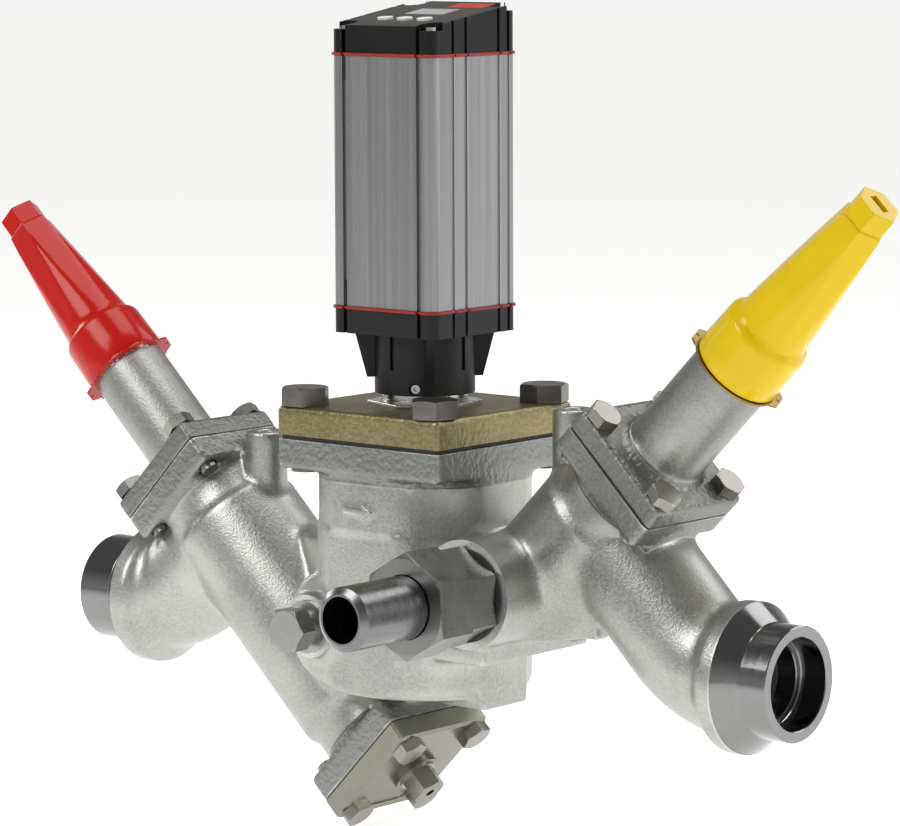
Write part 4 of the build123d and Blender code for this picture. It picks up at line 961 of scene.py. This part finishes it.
@dataclass(frozen=True)
class PipeEnd:
    """A turned end of the casting, from its cast bead to its mouth. Its frame, at the bead, faces outwards."""

    side: str
    place: Matrix
    length: float
    socket_depth: float = 16.0
    reach: float = 0.046
    pipe_bore: float = 0.0205
    straight: float = 0.004
    bend: float = 0.060
    bend_angle: float = 45.0

    def build(self) -> None:
        """Builds the turned ring."""
        ring = make_object(self.side + "_pipe_end", spun(self.profile(), self.place, closed=True))
        present(ring, Finish.TURNED_PIPE, "valve_body", sharp=20)

    def profile(self) -> list[Pair]:
        """Profile of the ring: cone, ring, stepped socket and bore, each corner broken.

        Returns:
            Radius and height of each point, in millimetres.
        """
        length, step = self.length, self.length - self.socket_depth
        return [
            (20.5, 0), (40.1, 0), (40.1, 0.3), (39.8, 0.7), (30.7, 10.8), (30.5, 11.3), (30.5, length - 0.5),
            (30.0, length), (24.9, length), (24.4, length - 0.5), (24.4, step + 0.6), (24.1, step + 0.2),
            (23.7, step), (21.2, step), (20.9, step - 0.1), (20.5, step - 0.6),
        ]

    def bore(self, skin: Mesh) -> None:
        """Cuts the bead flat and sinks the pipe's bore into it, round the start of the elbow.

        Args:
            skin: The casting's skin.
        """
        rim = cut_flat(skin, self.place, self.reach, close=False)
        circle = bmesh.ops.create_circle(skin, radius=self.pipe_bore, segments=64, matrix=self.place)["verts"]
        ring = list({edge for vert in circle for edge in vert.link_edges})
        outward = self.place.col[2].to_3d()
        bmesh.ops.triangle_fill(skin, use_beauty=True, edges=rim + ring, normal=outward)
        straight = bmesh.ops.extrude_edge_only(skin, edges=ring)["geom"]
        verts, edges = only(Vert, straight), only(Edge, straight)
        bmesh.ops.translate(skin, vec=-self.straight * outward, verts=verts)
        centre = self.place.to_translation() - self.straight * outward + Vector((0, 0, self.bend))
        turn = bmesh.ops.spin(
            skin, geom=verts + edges, cent=centre, axis=(0, math.copysign(1, outward.x), 0),
            angle=math.radians(self.bend_angle), steps=10,
        )["geom_last"]
        bmesh.ops.holes_fill(skin, edges=only(Edge, turn))
        bmesh.ops.recalc_face_normals(skin, faces=skin.faces)


@dataclass
class Casting:
    """The station's casting: a foundry skin with soft fillets, crisp machined faces and turned pipe ends."""

    voxel: float = 0.0016
    stretch: float = 0.005
    plug_depth: float = 0.004
    bead_inset: float = 0.001
    bead_margin: float = 0.01
    bead_plug: float = 0.030
    bead_plug_depth: float = 0.006
    fillet_passes: int = 20
    edge_passes: int = 2
    big_pitch: float = 0.093
    small_hole: float = 0.0056
    big_hole: float = 0.0085
    service_hole: float = 0.0066
    ports: tuple[Port, ...] = (
        Port(INLET, 0.029, 0.040), Port(OUTLET, 0.029, 0.040), Port(STRAINER, 0.029, 0.040),
        Port(MOTOR_PORT, 0.040, 0.062), Port(SIDE_PORT, 0.020, 0.040), Port(PLUG_PORT, 0.011, 0.025),
    )
    ends: tuple[PipeEnd, ...] = (
        PipeEnd("inlet", frame_at((0.034, 0, 0), (-1, 0, 0)), 34.0),
        PipeEnd("outlet", frame_at((0.463, 0, 0), (1, 0, 0)), 28.0),
    )
    flats: tuple[Pair, ...] = (
        (-0.016, 0.077), (0, 0.077), (0.016, 0.077), (-0.016, 0.061), (0, 0.061), (0.014, 0.063),
        (-0.014, 0.04), (0, 0.04),
    )
    flat_reach: float = 0.017
    arrow_outline: tuple[Pair, ...] = (
        (-10, -1.6), (3, -1.6), (3, -4.2), (10, 0), (3, 4.2), (3, 1.6), (-10, 1.6),
    )
    arrow_front: float = -0.0556
    arrow_level: float = 0.073
    arrow_height: float = 0.0018
    arrow_round: float = 0.0007

    def build(self) -> None:
        """Builds the casting, its flow arrow and its pipe ends."""
        skin = self.skin()
        for port in self.ports:
            cut_flat(skin, port.place, port.reach)
        for end in self.ends:
            end.bore(skin)
        present(make_object("station_casting", skin), Finish.CASTING, "valve_body", sharp=55)
        self.arrow()
        for end in self.ends:
            end.build()

    def arrow(self) -> None:
        """Builds the raised flow arrow on the column's flat."""
        mesh = bmesh.new()
        face = mesh.faces.new([mesh.verts.new((x / 1000, y / 1000, 0)) for x, y in self.arrow_outline])
        extrude(mesh, [face], Vector((0, 0, self.arrow_height)))
        bmesh.ops.recalc_face_normals(mesh, faces=mesh.faces)
        round_edges(mesh, list(mesh.edges), self.arrow_round, 3)
        spot = Matrix.Translation((COLUMN_X, self.arrow_front, self.arrow_level))
        bmesh.ops.transform(mesh, matrix=spot @ Matrix.Rotation(math.radians(90), 4, "X"), verts=mesh.verts)
        present(make_object("flow_arrow", mesh), Finish.CASTING, "valve_body")

    def solids(self) -> Mesh:
        """Joins the casting with plugs in its bores, cut off inside the beads and longer past every flat face.

        Returns:
            The solids, which overlap.
        """
        mesh = cad_copy("valve_body")
        for end in self.ends:
            inside = raised(end.place, -self.bead_inset)
            cut_flat(mesh, inside, end.reach + self.bead_margin)
            stretch_face(mesh, inside, self.stretch)
            add_bar(mesh, inside, self.bead_plug, -self.bead_plug_depth, self.stretch)
        for port in self.ports:
            stretch_face(mesh, port.place, self.stretch, port.reach)
            add_bar(mesh, port.place, port.plug, -self.plug_depth, self.stretch)
        return mesh

    def skin(self) -> Mesh:
        """Wraps the solids and rounds them as cast metal is, but for the bolt holes and the column's flats.

        Returns:
            The skin.
        """
        skin = CastSkin(self.solids(), self.voxel)
        for port in (INLET, OUTLET, STRAINER):
            for hole in corners(port, SMALL_PITCH):
                skin.pin(hole, self.small_hole, -0.03, 0.01)
        for hole in corners(MOTOR_PORT, self.big_pitch):
            skin.pin(hole, self.big_hole, -0.04, 0.01)
        for name in ("inlet_service_hole", "outlet_service_hole"):
            skin.pin(frame_at(MOUNTS[name]["pos_m"], (0, 0, 1)), self.service_hole, -0.015, 0.015)
        for x, z in self.flats:
            skin.pin(frame_at((COLUMN_X + x, 0, z), (0, -1, 0)), self.flat_reach, 0.045, 0.07)
        skin.smooth(self.edge_passes)
        skin.fill(self.fillet_passes)
        skin.smooth(1)
        return skin.write()


@dataclass
class Bonnet:
    """Cast bonnet of a stop valve: square plate and neck, with the turned thread under its cap."""

    side: str
    place: Matrix
    voxel: float = 0.0009
    gasket: float = 0.0008
    neck_top: float = 0.0796
    plate_top: float = 0.0131
    bore: float = 0.018
    hole: float = 0.0052
    inset: float = 0.0002
    stretch: float = 0.004
    neck_reach: float = 0.03
    plate_reach: float = 0.045
    edge_passes: int = 2
    fillet_passes: int = 6

    def build(self) -> None:
        """Builds the cast skin up to the neck's top, and the thread above it."""
        node = self.side + "_bonnet"
        top = raised(self.place, self.neck_top)
        below = raised(top, -self.inset)
        solid = cad_copy(node)
        cut_flat(solid, below, 0.06, depth=0.1)
        stretch_face(solid, below, self.stretch)
        add_bar(solid, self.place, self.bore, -0.002, self.neck_top + self.stretch)
        for hole in corners(self.place, SMALL_PITCH):
            add_bar(solid, hole, self.hole, -0.001, self.plate_top - self.inset)
        relief = CastSkin(solid, self.voxel)
        relief.smooth(self.edge_passes)
        relief.fill(self.fillet_passes)
        relief.smooth(self.edge_passes)
        skin = relief.write()
        cut_flat(skin, top, self.neck_reach)
        cut_flat(skin, flipped(raised(self.place, self.gasket)), self.plate_reach)
        present(make_object(node + "_casting", skin), Finish.RIM, node, sharp=55)
        thread = cad_copy(node)
        cut_flat(thread, flipped(top), 0.08, depth=0.05)
        present(make_object(node + "_thread", thread), Finish.TRIM, node)


@dataclass
class MotorCover:
    """Thick square cover of the motor port under its gold chromate coat."""

    voxel: float = 0.0012
    gasket: float = 0.0024
    stretch: float = 0.004
    plate_reach: float = 0.075
    edge_passes: int = 3

    def build(self) -> None:
        """Builds the cover."""
        base = flipped(raised(MOTOR_PORT, self.gasket))
        solid = cad_copy("motor_cover")
        stretch_face(solid, base, self.stretch)
        relief = CastSkin(solid, self.voxel)
        relief.smooth(self.edge_passes)
        skin = relief.write()
        cut_flat(skin, base, self.plate_reach)
        present(make_object("gold_cover", skin), Finish.GOLD, "motor_cover", sharp=60)


@dataclass
class ScrewCap:
    """Glossy screw cap: skirt, rounded shoulder, facetted cone and hexagon tip with a slot. Its foot is in
    metres and the rest in millimetres."""

    side: str
    place: Matrix
    body: str
    finish: Finish
    foot: float = 0.0822
    tip_start: float = 110.8
    length: float = 123.5
    shoulder: float = 32.5
    cone_base: float = 20.4
    cone_tip: float = 14.0
    facet_tip: float = 11.6
    tip_reach: float = 12.41
    tip_apothem: float = 10.75
    phase: float = 30.0
    blend: float = 0.35
    slot_depth: float = 3.0
    slot_size: Triple = (0.011, 0.005, 0.012)

    def build(self) -> None:
        """Builds the cap."""
        mesh = spun(self.profile(), Matrix.Identity(4))
        for vert in mesh.verts:
            self.facet(vert)
        piece = make_object(self.side + "_screw_cap", mesh)
        self.cut_slot(piece)
        piece.data.transform(raised(self.place, self.foot))
        present(piece, self.finish, self.side + "_cap", body=self.body, sharp=32)

    def profile(self) -> list[Pair]:
        """Outer and inner profile before the facets, from the tip's middle to the cavity's end.

        Returns:
            Radius and height of each point.
        """
        heights = (34, 36, 39, 43, 48, 54, 61, 69, 78, 88, 98, 104, 108, self.tip_start - 0.7)
        cone = [(self.ramp(height, self.cone_tip), height) for height in reversed(heights)]
        outer = [
            (0, self.length), (9.0, self.length), (10.4, self.length), (12.1, self.length - 0.05),
            (12.4, self.length - 0.4), (self.tip_reach, self.tip_start + 0.5), (12.6, self.tip_start + 0.1),
            (13.3, self.tip_start), *cone, (20.75, 32.3), (21.4, 31.0), (22.3, 29.6), (23.1, 28.6),
            (23.6, 27.8), (23.9, 26.7), (24.0, 25.0), (24.3, 12.0), (24.58, 0.6), (24.4, 0.15), (24.0, 0),
        ]
        inner = [
            (22.5, 0), (22.2, 0.3), (22.2, 7.2), (18.9, 7.4), (18.8, 23.6), (17.0, self.shoulder),
            (9.5, 110.0), (0, 110.3),
        ]
        return outer + inner

    def ramp(self, height: float, end: float) -> float:
        """Value at a height between the cone's base radius and the one at the tip's start."""
        share = (height - self.shoulder) / (self.tip_start - self.shoulder)
        return self.cone_base + share * (end - self.cone_base)

    def facet(self, vert: Vert) -> None:
        """Moves a vertex of the outer skin in to the six soft facets, or onto the hexagon of the tip.

        Args:
            vert: Vertex in the cap's own frame.
        """
        reach, height = 1000 * math.hypot(vert.co.x, vert.co.y), 1000 * vert.co.z
        if height < self.shoulder - 2 or reach < 9.6 and height < self.length - 1 or reach < 1:
            return
        if height < self.tip_start - 0.6 and reach < self.ramp(height, self.cone_tip) - 1:
            return
        sixth = math.radians(60)
        turn = (math.atan2(vert.co.y, vert.co.x) - math.radians(self.phase) + sixth / 2) % sixth - sixth / 2
        if height < self.tip_start - 0.3:
            apothem = self.ramp(height, self.facet_tip)
        elif height < self.tip_start + 0.05:
            apothem = self.facet_tip - 0.3
        else:
            apothem = self.tip_apothem * min(1.0, reach / self.tip_reach)
        flat = apothem / math.cos(turn)
        limit = reach if height < self.tip_start + 0.05 else 1e3
        near = max(self.blend - abs(limit - flat), 0) / self.blend
        wanted = min(limit, flat) - near * near * self.blend / 4
        vert.co.x *= wanted / reach
        vert.co.y *= wanted / reach

    def cut_slot(self, piece: bpy.types.Object) -> None:
        """Cuts the slot into the tip.

        Args:
            piece: The cap, in its own frame.
        """
        block = bmesh.new()
        spot = Matrix.Translation((0, 0, (self.length - self.slot_depth) / 1000))
        bmesh.ops.create_cube(block, size=1, matrix=spot @ Matrix.Diagonal((*self.slot_size, 1)))
        cutter = make_object("cutter", block)
        cut = piece.modifiers.new("cut", "BOOLEAN")
        cut.operation = "DIFFERENCE"
        cut.solver = "EXACT"
        cut.object = cutter
        whole, piece.data = piece.data, evaluated(piece)
        piece.modifiers.clear()
        bpy.data.objects.remove(cutter)
        bpy.data.meshes.remove(whole)


@dataclass(frozen=True)
class Fitting:
    """A CAD node whose form is right and whose edges only need breaking."""

    node: str
    finish: Finish
    width: float = 0.0004
    segments: int = 2
    turns: tuple[float, ...] = ()

    def build(self) -> None:
        """Builds the softened copy, ties it to its node's body and hides the node."""
        mesh = cad_copy(self.node)
        turn_bolts(mesh, self.turns)
        piece = make_object(self.node + "_piece", soften(mesh, self.width, self.segments))
        body = NODES[self.node].parent.name.split(":")[1]
        present(piece, self.finish, self.node, body=body, sharp=50, flat=True)


FITTINGS = (
    Fitting("inlet_bonnet_bolts", Finish.PLATED),
    Fitting("outlet_bonnet_bolts", Finish.PLATED),
    Fitting("strainer_bolts", Finish.PLATED),
    Fitting("motor_cover_bolts", Finish.BOLT, 0.0006, turns=(0, 0, 30, 0)),
    Fitting("drain_plug", Finish.PLATED),
    Fitting("side_plug", Finish.ZINC_BOLT, 0.0005),
    Fitting("strainer_cover", Finish.COVER, 0.0008, 3),
    Fitting("union_nut", Finish.NUT),
    Fitting("weld_stub", Finish.TURNED_SIDE, 0.0002),
    Fitting("actuator_neck", Finish.BLACK, 0.0005, 3),
    Fitting("top_cap", Finish.SHELL, 0.0004, 3),
    Fitting("actuator_housing", Finish.ALUMINIUM, 0.0003),
    Fitting("lower_seal", Finish.RED_CORD, 0.0007, 3),
    Fitting("upper_seal", Finish.RED_CORD, 0.0007, 3),
)

NODE_FINISH = {
    Finish.CASTING: "valve_body",
    Finish.RIM: "inlet_bonnet outlet_bonnet",
    Finish.GOLD: "motor_cover",
    Finish.BOLT: "motor_cover_bolts",
    Finish.PLATED: "inlet_bonnet_bolts outlet_bonnet_bolts strainer_bolts drain_plug side_plug",
    Finish.TRIM: "collar_screws top_screws inlet_spindle outlet_spindle inlet_cone outlet_cone motor_cone "
                 "motor_spindle motor_cage strainer_frame strainer_mesh rotor",
    Finish.COVER: "strainer_cover",
    Finish.NUT: "nipple union_nut",
    Finish.TURNED_SIDE: "weld_stub",
    Finish.TURNED_COLUMN: "actuator_adapter",
    Finish.BRASS: "inlet_packing_gland outlet_packing_gland",
    Finish.RUBBER: "inlet_bonnet_gasket outlet_bonnet_gasket strainer_gasket motor_cover_gasket "
                   "inlet_packing_ring outlet_packing_ring side_washer",
    Finish.SOFT_METAL: "drain_washer plug_washer",
    Finish.SEAL: "inlet_cone_seal outlet_cone_seal",
    Finish.RED_CORD: "lower_seal upper_seal",
    Finish.RED: "inlet_cap inlet_seal_plate",
    Finish.YELLOW: "outlet_cap",
    Finish.BRONZE: "outlet_seal_plate",
    Finish.BLACK: "actuator_neck rear_connectors motor",
    Finish.SHELL: "top_cap",
    Finish.ALUMINIUM: "actuator_housing motor_bracket",
    Finish.PANEL: "top_panel",
    Finish.DISPLAY: "display_window",
    Finish.KEY: "left_key middle_key right_key",
    Finish.BOARD: "circuit_board keypad_board",
}


def dress_nodes() -> None:
    """Gives every CAD node its material."""
    for finish, names in NODE_FINISH.items():
        for name in names.split():
            for place in NODES[name].material_slots:
                place.material = finish.material
            log.info("%s: %s", name, finish.title)


@dataclass
class SidePort:
    """Nipple of the side port, a hexagon whose corners reach the washer's rim and its turned ends, and the
    washer. Sizes are in millimetres."""

    across: float = 46.0
    start: float = 1.6
    end: float = 22.1
    bore: float = 12.2
    thread: float = 17.0
    neck: float = 21.0
    reach: float = 35.9
    depth: float = 14.0
    washer_bore: float = 17.2
    washer_rim: float = 25.2
    washer_height: float = 1.55

    def build(self) -> None:
        """Builds the nipple and the washer."""
        across, start, end, neck = (size / 1000 for size in (self.across, self.start, self.end, self.neck))
        ring = make_object("nipple_hexagon", hexagon(SIDE_PORT, across, start, end, 0, neck, 0.0005))
        present(ring, Finish.NUT, "nipple", sharp=50, flat=True)
        profile = [
            (self.bore, -self.depth), (self.thread - 0.8, -self.depth), (self.thread, 0.8 - self.depth),
            (self.thread, self.start), (self.neck, self.start), (self.neck, self.reach - 0.5),
            (self.neck - 0.5, self.reach), (self.bore, self.reach),
        ]
        present(make_object("nipple_core", spun(profile, SIDE_PORT, closed=True)), Finish.NUT, "nipple", sharp=35)
        profile = [
            (self.washer_bore, 0), (self.washer_rim, 0), (self.washer_rim, self.washer_height),
            (self.washer_bore, self.washer_height),
        ]
        ring = make_object("side_port_washer", spun(profile, SIDE_PORT, closed=True))
        present(ring, Finish.RUBBER, "side_washer")


@dataclass
class Adapter:
    """Polished adapter between cover and actuator: a thin hexagon, a grooved ring, the boss and the tube."""

    cover_top: float = 0.1267
    across: float = 0.055
    bore: float = 0.020
    hexagon_height: float = 0.0021
    turn: float = 10.0
    profile: tuple[Pair, ...] = (
        (0, -10), (18, -10), (18, 0.1), (23.4, 0.1), (24, 0.5), (24, 3.0), (23.2, 3.2), (23.2, 3.8), (24, 4.0),
        (24, 6.3), (23.6, 6.7), (20.8, 6.7), (20.8, 15.9), (20.4, 16.3), (15, 16.3), (15, 59.4), (14.4, 60), (0, 60),
    )

    def build(self) -> None:
        """Builds the adapter."""
        place = raised(COLUMN, self.cover_top)
        plate = hexagon(place, self.across, 0, self.hexagon_height, self.turn, self.bore, 0.0006)
        present(make_object("adapter_hexagon", plate), Finish.TRIM, "actuator_adapter", sharp=50, flat=True)
        ring = make_object("adapter_ring", spun(self.profile, place))
        present(ring, Finish.TURNED_COLUMN, "actuator_adapter", sharp=35)


@dataclass
class HeadTrim:
    """Small trim of the actuator: plugs in the front groove's ends and the plain red patch on the panel."""

    groove: float = -0.0263
    face: float = -0.0357
    plug_size: Triple = (0.0025, 0.0019, 0.0135)
    plug_sink: float = 0.0003
    plug_round: float = 0.0004
    patch_low: Pair = (0.0009, 0.018)
    patch_high: Pair = (0.026, 0.030)
    patch_lift: float = 0.00015

    def build(self) -> None:
        """Builds the trim."""
        self.plugs()
        self.patch()

    def plugs(self) -> None:
        """Builds the two plugs, at the housing's foot and at its top."""
        low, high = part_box("actuator_housing")
        _, depth, length = self.plug_size
        mesh = bmesh.new()
        for middle in (low[2] + length / 2, high[2] - length / 2):
            spot = Matrix.Translation((COLUMN_X + self.groove, self.face + self.plug_sink + depth / 2, middle))
            bmesh.ops.create_cube(mesh, size=1, matrix=spot @ Matrix.Diagonal((*self.plug_size, 1)))
        present(make_object("groove_plugs", soften(mesh, self.plug_round)), Finish.BLACK)

    def patch(self) -> None:
        """Builds the patch, flat on the panel's slope."""
        panel = cad_copy("top_panel")
        top = max(panel.faces, key=lambda face: face.calc_area() if face.normal.z > 0.5 else 0)
        normal, origin = top.normal.copy(), top.calc_center_median()
        panel.free()
        mesh = bmesh.new()
        (x0, y0), (x1, y1) = self.patch_low, self.patch_high
        spots = [Vector((COLUMN_X + x, y, 0)) for x, y in ((x0, y0), (x1, y0), (x1, y1), (x0, y1))]
        for spot in spots:
            flat = Vector((origin.x - spot.x, origin.y - spot.y, 0)).dot(normal)
            spot.z = origin.z + flat / normal.z
        face = mesh.faces.new([mesh.verts.new(spot) for spot in spots])
        extrude(mesh, [face], self.patch_lift * normal, keep=True)
        bmesh.ops.recalc_face_normals(mesh, faces=mesh.faces)
        present(make_object("panel_patch", mesh), Finish.PATCH)


@dataclass(frozen=True)
class Softbox:
    """A square soft light: its name, its centre and side in metres, and its power in watts."""

    name: str
    place: Triple
    size: float
    power: float

    def build(self, target: Vector) -> None:
        """Adds the light.

        Args:
            target: The point that it faces.
        """
        data = bpy.data.lights.new(self.name, "AREA")
        data.size = self.size
        data.energy = self.power
        lamp = bpy.data.objects.new(self.name, data)
        lamp.location = self.place
        lamp.rotation_euler = (target - Vector(self.place)).to_track_quat("-Z", "Y").to_euler()
        lamp.visible_camera = False
        bpy.context.scene.collection.objects.link(lamp)


@dataclass(frozen=True)
class Camera:
    """The photograph's camera. Its angles are in degrees, its places in metres, its focus and width in pixels."""

    turn: float = 40.11
    tilt: float = 7.18
    roll: float = -0.23
    distance: float = 2.27998
    shift: Pair = (0.0136, 0.0125)
    focus: float = 4151.42
    photo_width: int = 900
    sensor: float = 36.0

    def build(self) -> None:
        """Places the camera where the photograph was taken from."""
        turn, tilt, roll = (math.radians(angle) for angle in (self.turn, self.tilt, self.roll))
        ahead = Vector((-math.sin(turn) * math.cos(tilt), math.cos(turn) * math.cos(tilt), -math.sin(tilt)))
        right = Vector((math.cos(turn), math.sin(turn), 0))
        up = right.cross(ahead)
        side = math.cos(roll) * right + math.sin(roll) * up
        top = math.cos(roll) * up - math.sin(roll) * right
        aim = MOTOR_PORT.to_translation()
        place = aim - ahead * self.distance + side * self.shift[0] + top * self.shift[1]
        data = bpy.data.cameras.new("camera")
        data.sensor_width = self.sensor
        data.lens = self.sensor * self.focus / self.photo_width
        data.clip_end = 100
        camera = bpy.data.objects.new("camera", data)
        camera.matrix_world = Matrix.Translation(place) @ Matrix((side, top, -ahead)).transposed().to_4x4()
        bpy.context.scene.collection.objects.link(camera)
        bpy.context.scene.camera = camera


@dataclass(frozen=True)
class LightTable(Look):
    """Pale floor that glows softly from below, and less so on one side."""

    middle: Triple
    dim_side: Triple = (-0.4, -0.92, 0.0)
    dim_span: Pair = (0.45, 1.2)
    glow: Pair = (0.72, 0.16)

    def surface(self, graph: Graph) -> dict[str, object]:
        """Adds the nodes.

        Args:
            graph: The material's nodes.

        Returns:
            The shader's inputs.
        """
        height = graph.split(graph.coordinates(frame_at(self.middle, self.dim_side)))[2]
        return {
            "Base Color": (0.8, 0.8, 0.8, 1),
            "Roughness": 0.9,
            "Emission Color": (1, 1, 0.985, 1),
            "Emission Strength": graph.span(height, *self.dim_span, *self.glow),
        }


@dataclass
class Studio:
    """Pale light table, soft lights and the camera at the photograph's angle."""

    middle: Triple = (0.24, 0.0, 0.16)
    floor_size: float = 30.0
    floor_gap: float = 0.002
    room_span: Pair = (0.02, 0.45)
    room_light: Pair = (0.6, 0.18)
    backdrop: float = 0.93
    lights: tuple[Softbox, ...] = (
        Softbox("key", (-0.35, -1.75, 1.65), 1.2, 26),
        Softbox("overhead", (0.3, 0.3, 2.1), 1.2, 15),
        Softbox("right edge", (2.1, 0.9, 0.9), 0.6, 11),
        Softbox("left edge", (-1.9, 0.1, 0.8), 0.7, 8),
        Softbox("back sky", (0.95, 2.0, 1.75), 1.3, 13),
    )

    def build(self) -> None:
        """Makes the floor, the lights, the world and the camera."""
        bpy.context.scene.view_settings.view_transform = "Standard"
        self.floor()
        for light in self.lights:
            light.build(Vector(self.middle))
        self.world()
        Camera().build()

    def floor(self) -> None:
        """Makes the floor, just below the station."""
        mesh = bmesh.new()
        bmesh.ops.create_grid(mesh, x_segments=2, y_segments=2, size=self.floor_size)
        spot = (*self.middle[:2], cad_box[0][2] - self.floor_gap)
        bmesh.ops.translate(mesh, vec=spot, verts=mesh.verts)
        piece = make_object("floor", mesh)
        piece.data.materials.append(LightTable(self.middle).make("pale floor"))

    def world(self) -> None:
        """Sets a pale backdrop for the eye and a darker room, light near the horizon, for the reflections."""
        graph = Graph(bpy.data.worlds.new("studio"))
        height = graph.split(graph.node("TexCoord", {}, "Generated"))[2]
        light = {"Color": (1, 1, 1, 1), "Strength": graph.span(height, *self.room_span, *self.room_light)}
        room = graph.feed(graph.tree.nodes["Background"], light).outputs[0]
        backdrop = graph.node("Background", {"Color": (self.backdrop, self.backdrop, self.backdrop, 1)})
        seen = graph.node("LightPath", {}, "Is Camera Ray")
        choice = graph.node("MixShader", {0: seen, 1: room, 2: backdrop})
        graph.feed(graph.tree.nodes["World Output"], {"Surface": choice})
        bpy.context.scene.world = graph.owner


def main() -> None:
    """Builds the station's looks and the studio."""
    dress_nodes()
    Casting().build()
    Bonnet("inlet", INLET).build()
    Bonnet("outlet", OUTLET).build()
    MotorCover().build()
    ScrewCap("inlet", INLET, "red_cap", Finish.RED).build()
    ScrewCap("outlet", OUTLET, "yellow_cap", Finish.YELLOW).build()
    SidePort().build()
    Adapter().build()
    HeadTrim().build()
    for fitting in FITTINGS:
        fitting.build()
    Studio().build()


if __name__ == "__main__":
    main()
